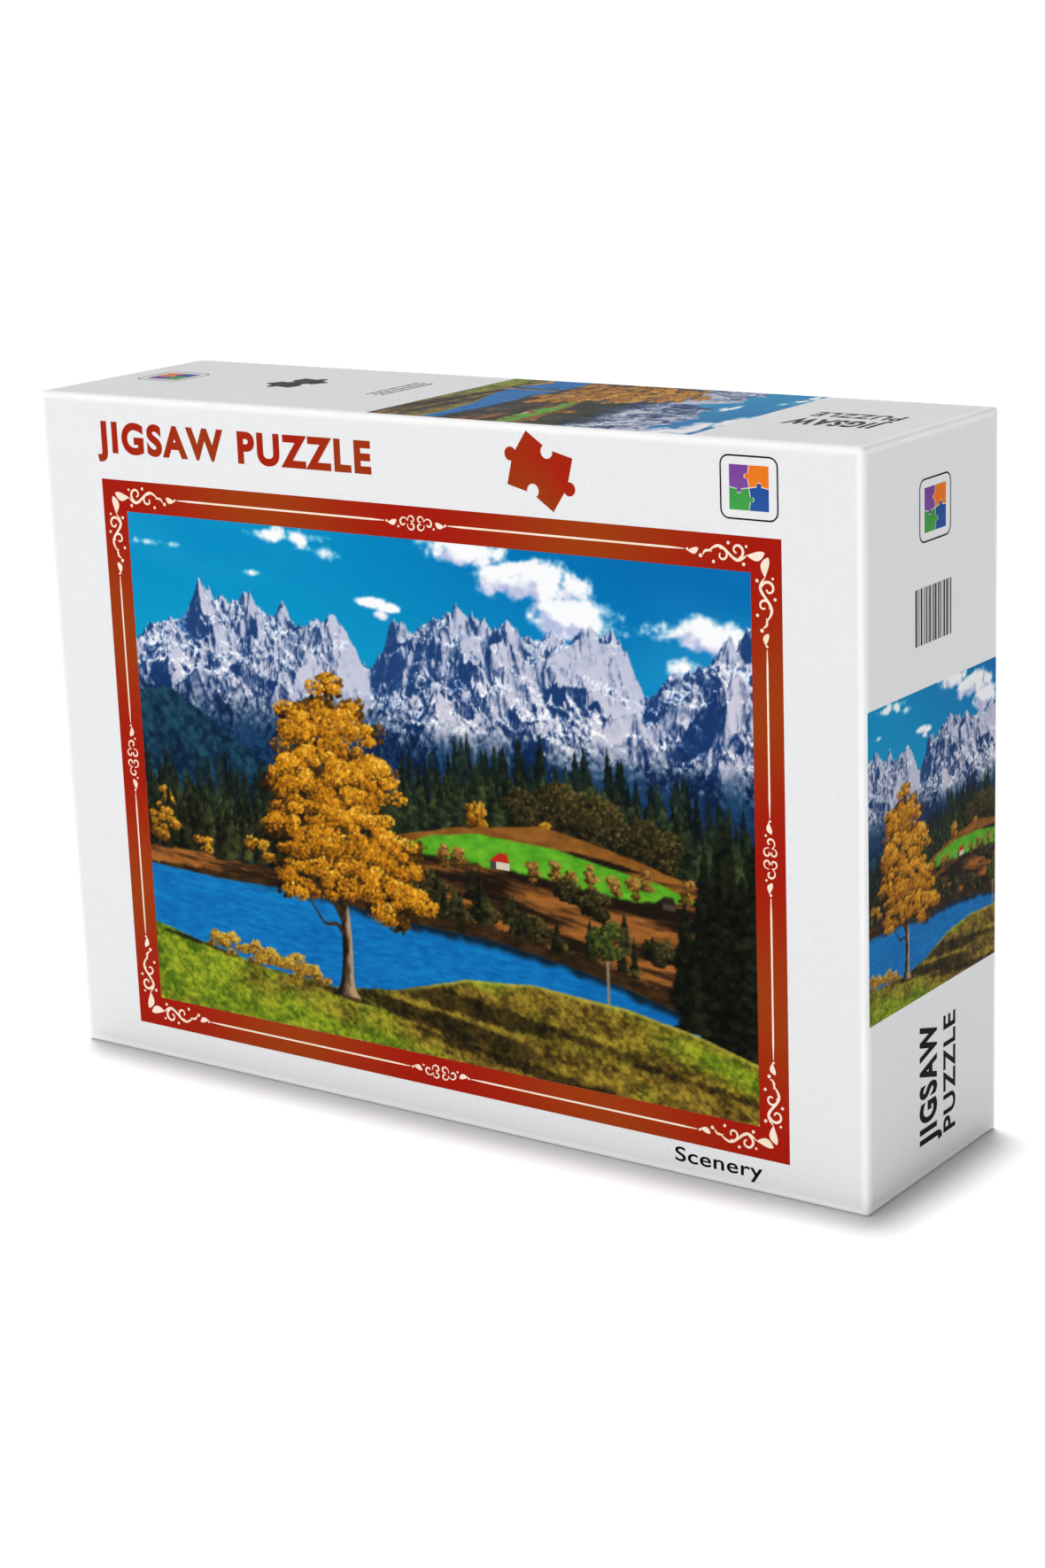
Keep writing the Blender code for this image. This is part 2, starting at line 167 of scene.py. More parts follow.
def smooth(low, high, value):
    share = np.clip((value - low) / (high - low), 0.0, 1.0)
    return share * share * (3 - 2 * share)


def mix(first, second, share):
    share = np.asarray(share)[..., None]
    return np.asarray(first) * (1 - share) + np.asarray(second) * share


def value_noise(u, v, columns, rows, seed):
    """Smooth noise from 0 to 1, with columns by rows cells to the unit square. It repeats every two units."""
    lattice = np.random.default_rng(seed).random((rows * 2, columns * 2))
    x, y = u * columns, v * rows
    column, row = np.floor(x).astype(int), np.floor(y).astype(int)
    across, up = smooth(0, 1, x - column), smooth(0, 1, y - row)
    left, right = column % (columns * 2), (column + 1) % (columns * 2)
    under, over = row % (rows * 2), (row + 1) % (rows * 2)
    low = lattice[under, left] * (1 - across) + lattice[under, right] * across
    high = lattice[over, left] * (1 - across) + lattice[over, right] * across
    return low * (1 - up) + high * up


def fractal(u, v, columns, rows, seed, octaves=4, gain=0.55):
    total = weight = 0.0
    for octave in range(octaves):
        share = gain**octave
        total = total + share * value_noise(u, v, columns << octave, rows << octave, seed + octave)
        weight += share
    return total / weight


def ridged(noise):
    return 1 - np.abs(2 * noise - 1)


def cliffs(x, y, cells, seed, octaves=7):
    """Ridged noise whose fine ridges grow only on the coarse ones, as on eroded rock; 0 to about 1."""
    total = 0.0
    keep = 1.0
    share = 0.5
    for octave in range(octaves):
        turn = 0.6 + 1.1 * octave
        along = x * math.cos(turn) + y * math.sin(turn)
        aside = y * math.cos(turn) - x * math.sin(turn)
        noise = value_noise(along + 3, aside + 3, cells << octave, cells << octave, seed + octave)
        ridge = ridged(noise) ** 2
        total = total + share * ridge * keep
        keep = np.clip(1.7 * ridge, 0.0, 1.0)
        share *= 0.54
    return total


def curve(u, knots):
    """Height of a line through (u, v) knots."""
    return np.interp(u, *zip(*knots))


class Painting:
    """A generic mountain lake in autumn, painted back to front."""

    def __init__(self):
        columns = (np.arange(ART_WIDTH) + 0.5) / ART_WIDTH
        rows = (np.arange(ART_HEIGHT) + 0.5) / ART_HEIGHT
        self.u, self.v = np.meshgrid(columns, rows)
        self.rgb = np.zeros((ART_HEIGHT, ART_WIDTH, 3))
        self.random = np.random.default_rng(7)

    def lay(self, mask, colour):
        self.rgb = mix(self.rgb, colour, mask)

    def noise(self, columns, rows, seed, octaves=4, gain=0.55):
        return fractal(self.u, self.v, columns, rows, seed, octaves, gain)

    def crest(self, knots, rough, cells, seed):
        """A line through the knots, made ragged by noise."""
        line = curve(self.u[0], knots)
        line = line + rough * (fractal(self.u[0], self.u[0] * 0, cells, 1, seed, 5, 0.6) - 0.5)
        return line[None, :]

    def below(self, line, soft=0.0016):
        return smooth(-soft, soft, line - self.v)

    def sky(self):
        height = smooth(0.60, 1.0, self.v)
        low = mix((0.03, 0.62, 0.77), (0.06, 0.57, 0.78), self.u)
        high = mix((0.0, 0.54, 0.75), (0.0, 0.42, 0.68), smooth(0.2, 0.9, self.u))
        self.rgb = mix(low, high, height)
        haze = smooth(0.45, 0.75, fractal(self.u + 0.4 * self.v, self.v, 3, 5, 37, 4))
        self.lay(0.12 * haze, (0.50, 0.84, 0.92))
        self.clouds()

    def cloud_cover(self, u, v):
        cover = 0.0
        for x, y, wide, tall, weight in CLOUD_BANKS:
            cover = np.maximum(cover, weight * np.exp(-(((u - x) / wide) ** 2) - ((v - y) / tall) ** 2))
        billows = 1 - ridged(fractal(u, v, 10, 9, 31, 5, 0.6))
        wisps = fractal(u, v, 46, 34, 47, 4, 0.6)
        swell = 1.1 * (fractal(u, v, 9, 9, 43, 6, 0.62) - 0.5)
        return cover + swell + 0.35 * (billows - 0.35) + 0.5 * (wisps - 0.5)

    def clouds(self):
        cover = self.cloud_cover(self.u, self.v)
        toward_sun = self.cloud_cover(self.u + 0.012, self.v + 0.016)
        mask = smooth(0.46, 0.72, cover)
        light = smooth(-0.24, 0.14, cover - toward_sun + 0.06)
        colour = mix((0.66, 0.70, 0.85), (1.0, 0.985, 0.98), light)
        self.lay(0.96 * mask, mix(colour, (0.93, 0.84, 0.90), 0.25 * (1 - light)))

    def relief(self, x, y):
        """Ground height over the mountains, in shares of the canvas height."""
        x = x + 0.05 * (fractal(x, y, 6, 6, 95, 4) - 0.5)
        y = y + 0.12 * (fractal(x, y, 5, 5, 99, 4) - 0.5)
        back = np.clip(1 - np.abs(y - 0.62) / 0.62, 0, 1) ** 1.5
        front = np.clip(1 - np.abs(y - 0.30) / 0.30, 0, 1) ** 1.2
        rock = cliffs(x, y, 6, 301)
        ranges = np.maximum(curve(x, FAR_PEAKS) * back, curve(x, NEAR_PEAKS) * front)
        return ranges * (0.70 + 0.60 * rock) + 0.03 * (rock - 0.4)

    def mountains(self):
        """A mountain range seen from the valley: a height field under a low sun from the right."""
        steps = np.arange(RELIEF_STEPS)
        x, y = np.meshgrid(self.u[0], steps / RELIEF_STEPS)
        height = self.relief(x, y)
        slope_x = np.gradient(height * CANVAS_SHAPE, 1 / ART_WIDTH, axis=1)
        slope_y = np.gradient(height * CANVAS_SHAPE, 1 / RELIEF_STEPS, axis=0)
        length = np.sqrt(1 + slope_x**2 + slope_y**2)
        sun_x, sun_y, sun_up = MOUNTAIN_SUN
        light = np.clip((sun_y * slope_y - sun_x * slope_x + sun_up) / length, 0, 1)
        level = height * CANVAS_SHAPE - 1.1 * x
        screen = np.maximum.accumulate(level[:, ::-1], axis=1)[:, ::-1]
        light = light * (1 - smooth(0.0, 0.02, screen - level))
        reach = np.maximum.accumulate(0.50 + height + 0.07 * y, axis=0)
        fields = np.stack((light, 1 / length, height, y), -1)
        seen = np.zeros(self.rgb.shape[:2] + (4,))
        for column in range(ART_WIDTH):
            at = np.interp(self.v[:, 0], reach[:, column], steps)
            before = np.minimum(at.astype(int), RELIEF_STEPS - 2)
            near, far = fields[before, column], fields[before + 1, column]
            seen[:, column] = near + (at - before)[:, None] * (far - near)
        light, flat, height, depth = np.moveaxis(seen, -1, 0)
        grain = self.noise(150, 110, 331) - 0.5
        seams = ridged(fractal(self.u + 0.5 * self.v, self.v - 0.3 * self.u, 30, 60, 341, 4)) - 0.5
        light = light + 0.34 * grain + 0.12 * seams
        snow = smooth(0.66, 0.86, flat + 0.35 * grain + 0.15 * seams + 0.9 * (height - 0.24))
        stone_light = smooth(0.08, 0.95, light + 0.25 * grain + 0.15 * seams)
        stone = mix((0.08, 0.20, 0.40), (0.80, 0.79, 0.85), stone_light)
        white = mix((0.40, 0.56, 0.78), (1.0, 0.99, 0.99), smooth(0.10, 0.60, light))
        ground = mix(stone, white, snow)
        wood = mix((0.03, 0.11, 0.24), (0.10, 0.24, 0.38), smooth(0.1, 0.8, light))
        ground = mix(wood, ground, smooth(0.07, 0.16, height + 0.06 * grain))
        ground = mix(ground, (0.40, 0.60, 0.82), 0.18 * smooth(0.2, 1.0, depth))
        self.rgb = mix(self.rgb, ground, self.below(reach[-1][None, :], 0.0012))

    def foothills(self):
        for hill, seed, far, near in ((MIDDLE_HILL, 67, (0.04, 0.13, 0.27), (0.12, 0.25, 0.38)),
                                      (LEFT_HILL, 69, (0.03, 0.12, 0.22), (0.12, 0.29, 0.36))):
            lines = fractal(self.u + 0.8 * self.v, self.v - 0.5 * self.u, 60, 14, seed, 4, 0.7)
            growth = self.noise(120, 90, seed + 4, 2)
            tone = mix(far, near, smooth(0.3, 0.75, 0.5 * lines + 0.5 * growth + 0.4 * (self.v - 0.5)))
            self.lay(self.below(self.crest(*hill)), tone)

    def window(self, u_low, u_high, v_low, v_high):
        """The part of the canvas between these places, as slices."""
        left = int(np.clip(u_low * ART_WIDTH, 0, ART_WIDTH))
        right = int(np.clip(math.ceil(u_high * ART_WIDTH), 0, ART_WIDTH))
        bottom = int(np.clip(v_low * ART_HEIGHT, 0, ART_HEIGHT))
        top = int(np.clip(math.ceil(v_high * ART_HEIGHT), 0, ART_HEIGHT))
        return slice(bottom, top), slice(left, right)

    def conifer(self, x, base, tall, wide, dark, light):
        """One spruce: a ragged cone of drooping branches with light on its right side."""
        where = self.window(x - wide, x + wide, base, base + tall * 1.03)
        u, v = self.u[where], self.v[where]
        if not u.size:
            return
        rise = (v - base) / tall
        phase = x * 97.0
        droop = rise + 1.6 * np.abs(u - x) / tall * 0.35
        tiers = 0.62 + 0.38 * ridged(np.mod(droop * (6 + 3 * math.sin(phase)) + phase, 1.0))
        speckle = self.random.random(u.shape)
        clumps = fractal(u * 3 + phase, v * 3, 40, 34, 5, 2)
        ragged = 0.55 + 0.5 * clumps + 0.35 * speckle
        half = wide * 0.5 * np.clip(1.03 - rise, 0, 1) ** 0.72 * tiers * ragged
        mask = smooth(-0.0004, 0.0012, half - np.abs(u - x))
        glow = 0.30 + 0.55 * (u - x) / wide * 2 + 1.3 * (clumps - 0.45) + 0.45 * (speckle - 0.5)
        self.rgb[where] = mix(self.rgb[where], mix(dark, light, np.clip(glow, 0, 1)), mask)

    def conifers(self, count, left, right, knots, tall, wide, dark, light, jitter):
        places = np.sort(self.random.random(count))[::-1]
        for depth in places:
            x = left + (right - left) * self.random.random()
            size = tall * (0.65 + 0.5 * self.random.random())
            base = curve(x, knots) + jitter * depth
            tint = 0.7 + 0.6 * self.random.random()
            broad = wide * (0.7 + 0.6 * self.random.random())
            self.conifer(x, base, size, broad, np.multiply(dark, tint), np.multiply(light, tint))

    def dabs(self, places, sizes, colours):
        """Leaves: small soft touches of paint, in the order given."""
        for (x, y), size, colour in zip(places, sizes, colours):
            where = self.window(x - size, x + size, y - size * 1.4, y + size * 1.4)
            away = ((self.u[where] - x) / size) ** 2 + ((self.v[where] - y) / (size * 1.25)) ** 2
            self.rgb[where] = mix(self.rgb[where], colour, 0.95 * smooth(1.0, 0.5, away))

    def foliage(self, lobes, clumps, leaves, size, palette, seed, reach):
        """A crown: clumps of leaves fill the lobes, and each clump is light above and on its right."""
        random = np.random.default_rng(seed)
        lobes = np.array(lobes)
        weights = lobes[:, 2] * lobes[:, 3]
        steps = np.array(palette)
        order = []
        for _ in range(clumps):
            x, y, wide, tall = lobes[random.choice(len(lobes), p=weights / weights.sum())]
            angle, radius = random.random() * 2 * math.pi, math.sqrt(random.random())
            centre = np.array((x + wide * radius * math.cos(angle), y + tall * radius * math.sin(angle)))
            outward = radius * (math.sin(angle) + 0.6 * math.cos(angle))
            order.append((centre[1] + 0.03 * random.random(), centre, outward))
        for _, centre, outward in sorted(order, key=lambda item: -item[0]):
            turn, out = random.random(leaves) * 2 * math.pi, np.sqrt(random.random(leaves))
            spread = reach * (0.6 + 0.8 * random.random())
            offset = np.stack([np.cos(turn) * out, np.sin(turn) * out * 0.8], -1)
            light = 0.42 + 0.24 * offset @ (0.55, 1.0) + 0.16 * outward + 0.55 * (random.random(leaves) - 0.5)
            index = np.clip(light * len(steps), 0, len(steps) - 1).astype(int)
            touches = steps[index] * (0.88 + 0.24 * random.random((leaves, 1)))
            self.dabs(centre + offset * spread, size * (0.6 + 0.8 * random.random(leaves)), touches)

    def far_shore(self):
        """The woods, the heath and the meadow beyond the lake, with their trees and huts."""
        dark, light = (0.045, 0.075, 0.055), (0.24, 0.28, 0.16)
        self.conifers(150, 0.0, 1.0, FIR_BELT, 0.150, 0.036, (0.04, 0.075, 0.085), (0.15, 0.21, 0.17), 0.05)
        self.conifers(230, 0.0, 1.0, FIR_BELT, 0.120, 0.040, dark, light, 0.012)
        self.foliage(GROVES, 150, 60, 0.0026, BRONZE, 13, 0.014)
        for x, y, tall in YELLOW_TREES:
            self.foliage([(x, y, 0.012, tall)], 14, 40, 0.0022, AUTUMN, int(1000 * x), 0.008)
        self.lay(self.below(self.crest(*KNOLL)),
                 mix((0.38, 0.22, 0.08), (0.66, 0.43, 0.17), self.noise(50, 70, 72)))
        streaks = fractal(self.u + 0.5 * self.v, self.v + 0.02 * np.sin(9 * self.u), 13, 66, 73, 5, 0.66)
        bands = self.noise(4, 24, 76, 3)
        growth = smooth(0.34, 0.66, 0.72 * streaks + 0.28 * bands)
        self.lay(self.below(self.crest(*HEATH)), mix((0.11, 0.075, 0.045), (0.64, 0.39, 0.17), growth))
        meadow = self.below(self.crest(*MEADOW_TOP)) * (1 - self.below(self.crest(*MEADOW_FOOT), 0.004))
        self.lay(meadow, mix((0.22, 0.52, 0.10), (0.46, 0.76, 0.18), self.noise(60, 80, 79, 3)))
        self.hut(0.612, 0.412, 0.030, 0.026, (0.72, 0.14, 0.09), (0.82, 0.77, 0.70))
        self.hut(0.868, 0.385, 0.028, 0.020, (0.16, 0.13, 0.11), (0.28, 0.24, 0.20))
        for x in MEADOW_TREES:
            tall = 0.016 + 0.012 * self.random.random()
            self.foliage([(x, 0.385 + tall, 0.006, tall)], 8, 34, 0.0021, RUST, int(2000 * x), 0.007)
        for x, y, wide in SHRUBS:
            self.foliage([(x, y, wide, wide * 1.3)], 14, 46, 0.0024, SHRUB, int(3000 * x), 0.011)
        self.conifers(24, 0.46, 0.92, HEATH_FIRS, 0.070, 0.030, (0.05, 0.06, 0.04), (0.28, 0.27, 0.13), 0.07)
        self.conifers(60, 0.0, 0.47, LEFT_FIRS, 0.110, 0.034, (0.045, 0.06, 0.045), (0.26, 0.27, 0.14), 0.03)
        self.foliage(LEFT_BUSHES, 26, 44, 0.0022, AUTUMN, 83, 0.009)

    def hut(self, x, y, wide, tall, roof_colour, wall_colour):
        wall = self.window(x - wide / 2, x + wide / 2, y - tall * 0.55, y)
        self.rgb[wall] = wall_colour
        side = self.window(x - wide / 2, x - wide / 5, y - tall * 0.55, y)
        self.rgb[side] = np.multiply(wall_colour, 0.32)
        roof = self.window(x - wide * 0.6, x + wide * 0.6, y, y + tall * 0.6)
        lean = (self.v[roof] - y) * 0.6
        mask = smooth(0, 0.001, wide * 0.55 - lean - np.abs(self.u[roof] - x - lean * 0.6))
        self.rgb[roof] = mix(self.rgb[roof], roof_colour, mask)

    def lake(self):
        top = self.crest(*WATER)
        water = self.below(top)
        earth = mix((0.05, 0.04, 0.03), (0.30, 0.20, 0.09), self.noise(60, 90, 86, 3))
        self.lay(self.below(self.crest(*BANK), 0.003) * 0.9, earth)
        ripple = fractal(self.u + 0.3 * self.v, self.v, 70, 220, 87, 3)
        broad = self.noise(5, 14, 89, 3)
        glitter = np.clip(0.15 + 0.9 * (ripple - 0.35) + 0.5 * (broad - 0.4) - 0.15 * self.u, 0, 1)
        self.lay(water, mix((0.03, 0.38, 0.66), (0.10, 0.59, 0.84), glitter))
        edge = (top - self.v) / 0.020 + 1.1 * (self.noise(34, 10, 88, 3) - 0.5)
        mirror = water * smooth(1.0, 0.1, edge) * smooth(0.14, 0.34, self.u)
        self.lay(mirror * 0.85, (0.04, 0.07, 0.09))

    def foreground(self):
        """The near meadow: green on the left, olive and dry on the right, with the trees' shadows."""
        shore = self.crest(*NEAR_SHORE)
        land = self.below(shore)
        patches = fractal(self.u, self.v * 1.2, 6, 9, 93, 4)
        blades = fractal(self.u + 0.25 * self.v, self.v, 170, 140, 95, 3, 0.7)
        clods = self.noise(28, 40, 96, 4, 0.65)
        tone = smooth(0.25, 0.75, 0.55 * blades + 0.45 * clods)
        green = mix((0.24, 0.36, 0.06), (0.66, 0.70, 0.16), tone)
        olive = mix((0.22, 0.16, 0.06), (0.66, 0.56, 0.18), tone)
        dry = smooth(0.30, 0.62, 0.70 * self.u + 0.9 * (patches - 0.5) + 0.14)
        fresh = smooth(0.05, 0.0, np.abs(shore - 0.035 - self.v)) * smooth(0.78, 0.95, self.u)
        self.lay(land, mix(mix(green, olive, dry), green, fresh))
        shade = 0.0
        for x, y, wide, tall, weight in SHADOWS:
            drop = y - 0.18 * (self.u - x)
            fall = np.exp(-(((self.u - x) / wide) ** 4) - ((self.v - drop) / tall) ** 2)
            shade = np.maximum(shade, weight * fall)
        ragged = smooth(0.25, 0.6, shade + 0.9 * (self.noise(50, 26, 97) - 0.5))
        self.lay(land * ragged * 0.9, mix((0.07, 0.06, 0.03), (0.27, 0.21, 0.08), tone))
        rim = land * smooth(0.010, 0.0, shore - self.v) * smooth(0.4, 0.5, self.u)
        self.lay(rim * 0.6, (0.80, 0.78, 0.30))

    def right_firs(self):
        for fir in RIGHT_FIRS:
            self.conifer(*fir, (0.025, 0.035, 0.025), (0.14, 0.16, 0.09))

    def saplings(self):
        trunk = self.window(0.776, 0.7785, 0.175, 0.26)
        self.rgb[trunk] = (0.55, 0.50, 0.42)
        self.foliage(SAPLING, 26, 50, 0.0021, YOUNG_GREEN, 15, 0.010)
        self.foliage(REEDS, 80, 44, 0.0020, REED, 17, 0.009)

    def branches(self):
        """Limbs that fork from the golden tree's trunk and show through its leaves."""
        random = np.random.default_rng(19)
        for x, y, lean, length, thick in LIMBS:
            for step in np.linspace(0, 1, 46):
                across = x + lean * length * step * (0.8 + 0.2 * step)
                up = y + length * step + 0.01 * math.sin(9 * step + x)
                bark = np.array((0.22, 0.16, 0.11)) * (0.7 + 0.5 * random.random())
                self.dabs([(across, up)], [thick * (1.1 - 0.8 * step)], [bark])

    def golden_tree(self):
        rise = np.clip((self.v - 0.085) / 0.36, 0, 1)
        sway = 0.345 + 0.005 * np.sin(rise * 5)
        half = 0.0110 - 0.006 * rise + 0.016 * np.exp(-rise * 26)
        trunk = smooth(0, 0.0015, half - np.abs(self.u - sway))
        trunk = trunk * smooth(0.083, 0.088, self.v) * smooth(0.46, 0.44, self.v)
        bark = smooth(-0.6, 0.8, (self.u - sway) / half + 1.1 * (self.noise(160, 50, 101, 3) - 0.5))
        self.lay(trunk, mix((0.10, 0.07, 0.05), (0.70, 0.58, 0.44), bark))
        self.foliage(CROWN, 190, 44, 0.0034, CROWN_SHADE, 21, 0.018)
        self.branches()
        self.foliage(CROWN, 300, 66, 0.0022, GOLD, 23, 0.0155)

    def paint(self):
        self.sky()
        self.mountains()
        self.foothills()
        self.far_shore()
        self.lake()
        self.right_firs()
        self.foreground()
        self.saplings()
        self.golden_tree()
        return np.clip(self.rgb, 0, 1)


# ---------------------------------------------------------------- the box, from the frame

LID_LOW, LID_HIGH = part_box("lid_wrap")
TRAY_LOW, TRAY_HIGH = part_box("tray_wrap")
HEIGHT = LID_HIGH.z - LID_LOW.z
DEPTH = LID_HIGH.y - LID_LOW.y
MM = 0.001
RIM_WIDTH = 3.3 * MM  # paper, board and paper again
TURN_IN = 16 * MM
EDGE_RADIUS = 1.6 * MM
SHARP_ANGLE = 0.7  # radians
PAPER = 0.3 * MM
INK_LIFT = 0.04 * MM  # a printed layer stands this far off the paper below it
STROKE_STEP = 0.001 * MM  # each shape of one print stands this much above the one before
EDGE_BAND = 3.4 * MM  # width of the painted edge highlight, lighter paper along the box's edges


def face_matrix(corner, right, up):
    """A frame on one face of the lid: X and Y run along the face, and Z points out of it."""
    right, up = Vector(right), Vector(up)
    out = right.cross(up)
    matrix = Matrix((right, up, out)).transposed().to_4x4()
    matrix.translation = Vector(corner)
    return matrix


FRONT = face_matrix(LID_LOW, (1, 0, 0), (0, 0, 1))
RIGHT = face_matrix((LID_HIGH.x, LID_LOW.y, LID_LOW.z), (0, 1, 0), (0, 0, 1))
LEFT = face_matrix((LID_LOW.x, LID_HIGH.y, LID_LOW.z), (0, -1, 0), (0, 0, 1))
TOP = face_matrix((LID_LOW.x, LID_LOW.y, LID_HIGH.z), (1, 0, 0), (0, 1, 0))
UNDER = face_matrix((LID_LOW.x, LID_HIGH.y, LID_LOW.z), (1, 0, 0), (0, -1, 0))


# ---------------------------------------------------------------- meshes and objects


def make_mesh(name, vertices, faces, smooth_shaded=False):
    mesh = bpy.data.meshes.new(name)
    mesh.from_pydata(vertices, [], faces)
    mesh.update()
    if smooth_shaded:
        mesh.shade_smooth()
    return mesh


def mesh_from(bm, name):
    """The bmesh as a smooth-shaded mesh."""
    mesh = bpy.data.meshes.new(name)
    bm.to_mesh(mesh)
    bm.free()
    mesh.shade_smooth()
    return mesh


def grid_faces(rows, columns):
    """The quads between rows by columns points, which are numbered row by row."""
    first = (np.arange(rows - 1)[:, None] * columns + np.arange(columns - 1)[None, :]).ravel()
    return np.stack([first, first + 1, first + columns + 1, first + columns], -1)


def add_piece(name, mesh, body, material, matrix=None):
    """A visible piece that rides on a CAD body, with the material given."""
    piece = bpy.data.objects.new(name, mesh)
    bpy.context.scene.collection.objects.link(piece)
    piece.data.materials.clear()
    piece.data.materials.append(material)
    if matrix is not None:
        piece.matrix_world = matrix
    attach(piece, body)
    return piece


def add_print(name, mesh, material, place):
    """A printed layer on the lid."""
    add_piece(name, mesh, "lid", material, place)


def thicken(piece, name, thickness, offset=-1.0):
    sheet = piece.modifiers.new(name, "SOLIDIFY")
    sheet.thickness = thickness
    sheet.offset = offset
    return sheet


def to_linear(srgb):
    srgb = np.asarray(srgb, float)
    return np.where(srgb <= 0.04045, srgb / 12.92, ((srgb + 0.055) / 1.055) ** 2.4)


def set_print(mesh, srgb):
    """Store one printed colour for each vertex."""
    attribute = mesh.color_attributes.new("Print", "FLOAT_COLOR", "POINT")
    rgba = np.ones((len(mesh.vertices), 4), np.float32)
    rgba[:, :3] = to_linear(srgb)
    attribute.data.foreach_set("color", rgba.ravel())


def sample_art(art, u, v):
    """The painting's colour at (u, v), averaged over the four nearest pixels."""
    rows, columns = art.shape[:2]
    x = np.clip(u * columns - 0.5, 0, columns - 1.001)
    y = np.clip(v * rows - 0.5, 0, rows - 1.001)
    column, row = x.astype(int), y.astype(int)
    across, up = (x - column)[..., None], (y - row)[..., None]
    low = art[row, column] * (1 - across) + art[row, column + 1] * across
    high = art[row + 1, column] * (1 - across) + art[row + 1, column + 1] * across
    return low * (1 - up) + high * up


# ---------------------------------------------------------------- materials


class Shading:
    """A Principled material and short calls for the nodes that feed it."""

    def __init__(self, name, roughness=0.5, **sockets):
        self.material = bpy.data.materials.new(name)
        self.material.use_nodes = True
        self.tree = self.material.node_tree
        self.shader = self.tree.nodes["Principled BSDF"]
        self.shader.inputs["Roughness"].default_value = roughness
        for socket, value in sockets.items():
            self.shader.inputs[socket.replace("_", " ")].default_value = value
        self.coordinates = self.node("ShaderNodeTexCoord").outputs["Object"]

    def node(self, kind, **values):
        node = self.tree.nodes.new(kind)
        for key, value in values.items():
            setattr(node, key, value)
        return node

    def link(self, source, target):
        self.tree.links.new(source, target)

    def noise(self, scale, detail=3.0, rough=0.5, stretch=None):
        texture = self.node("ShaderNodeTexNoise")
        texture.inputs["Scale"].default_value = scale
        texture.inputs["Detail"].default_value = detail
        texture.inputs["Roughness"].default_value = rough
        vector = self.coordinates
        if stretch:
            mapping = self.node("ShaderNodeMapping")
            mapping.inputs["Scale"].default_value = stretch
            self.link(self.coordinates, mapping.inputs["Vector"])
            vector = mapping.outputs["Vector"]
        self.link(vector, texture.inputs["Vector"])
        return texture.outputs["Fac"]

    def cells(self, feature, output):
        """One output of a cell pattern in which a cell is about as big as a loose piece."""
        pattern = self.node("ShaderNodeTexVoronoi", feature=feature)
        pattern.inputs["Scale"].default_value = 75
        self.link(self.coordinates, pattern.inputs["Vector"])
        return pattern.outputs[output]

    def prints(self):
        """The colours that set_print stored in the mesh."""
        return self.node("ShaderNodeAttribute", attribute_name="Print").outputs["Color"]

    def maths(self, operation, first, second=None):
        node = self.node("ShaderNodeMath", operation=operation)
        for socket, value in zip(node.inputs, (first, second)):
            if isinstance(value, bpy.types.NodeSocket):
                self.link(value, socket)
            elif value is not None:
                socket.default_value = value
        return node.outputs[0]

    def remap(self, value, low, high, out_low=0, out_high=1):
        node = self.node("ShaderNodeMapRange")
        names = ("From Min", "From Max", "To Min", "To Max")
        for socket, number in zip(names, (low, high, out_low, out_high)):
            node.inputs[socket].default_value = number
        self.link(value, node.inputs["Value"])
        return node.outputs["Result"]

    def blend(self, share, first, second, mode="MIX"):
        """Mix two colours, each a value or an output, by an output or a number."""
        node = self.node("ShaderNodeMix", data_type="RGBA", blend_type=mode)
        for index, value in ((0, share), (6, first), (7, second)):
            if isinstance(value, bpy.types.NodeSocket):
                self.link(value, node.inputs[index])
            elif index == 0:
                node.inputs[index].default_value = value
            else:
                node.inputs[index].default_value = (*value, 1.0)
        return node.outputs[2]

    def colour(self, output):
        self.link(output, self.shader.inputs["Base Color"])

    def roughness(self, output, low, high):
        """Let the roughness wander from low to high with a pattern."""
        self.link(self.remap(output, 0.3, 0.7, low, high), self.shader.inputs["Roughness"])

    def bump(self, heights):
        """Chain (output, distance, strength) reliefs into the shader's normal."""
        normal = None
        for height, distance, strength in heights:
            node = self.node("ShaderNodeBump")
            node.inputs["Distance"].default_value = distance
            node.inputs["Strength"].default_value = strength
            self.link(height, node.inputs["Height"])
            if normal is not None:
                self.link(normal, node.inputs["Normal"])
            normal = node.outputs["Normal"]
        self.link(normal, self.shader.inputs["Normal"])

    def paper_surface(self, scale, detail, roughness, reliefs):
        """Uneven gloss around a roughness, and (scale, detail, distance, strength) reliefs."""
        self.roughness(self.noise(scale, detail), roughness - 0.04, roughness + 0.06)
        self.bump([(self.noise(*relief[:2]), *relief[2:]) for relief in reliefs])


BOARD_WAVE = (14, 2, 0.0012)  # scale, detail and depth of the board's slow unevenness


def coated_paper(name, light, dark, roughness, edges):
    """Coated paper on board: a faint mottle, fine tooth and slow unevenness, and lighter along its edges, a
    painted highlight that also stands for rubbed paper.
    """
    shading = Shading(name, roughness, Specular_IOR_Level=0.25)
    mottle = shading.remap(shading.noise(700, 3), 0.35, 0.65)
    tone = shading.blend(mottle, light, dark)
    # Painted highlight: the paper turns near white where two faces meet.
    shading.colour(shading.blend(edge_highlight_and_wear(shading, *edges), tone, (0.98, 0.98, 0.98)))
    shading.paper_surface(60, 4, roughness, ((*BOARD_WAVE, 0.10), (1400, 2, 0.00003, 0.2)))
    return shading.material


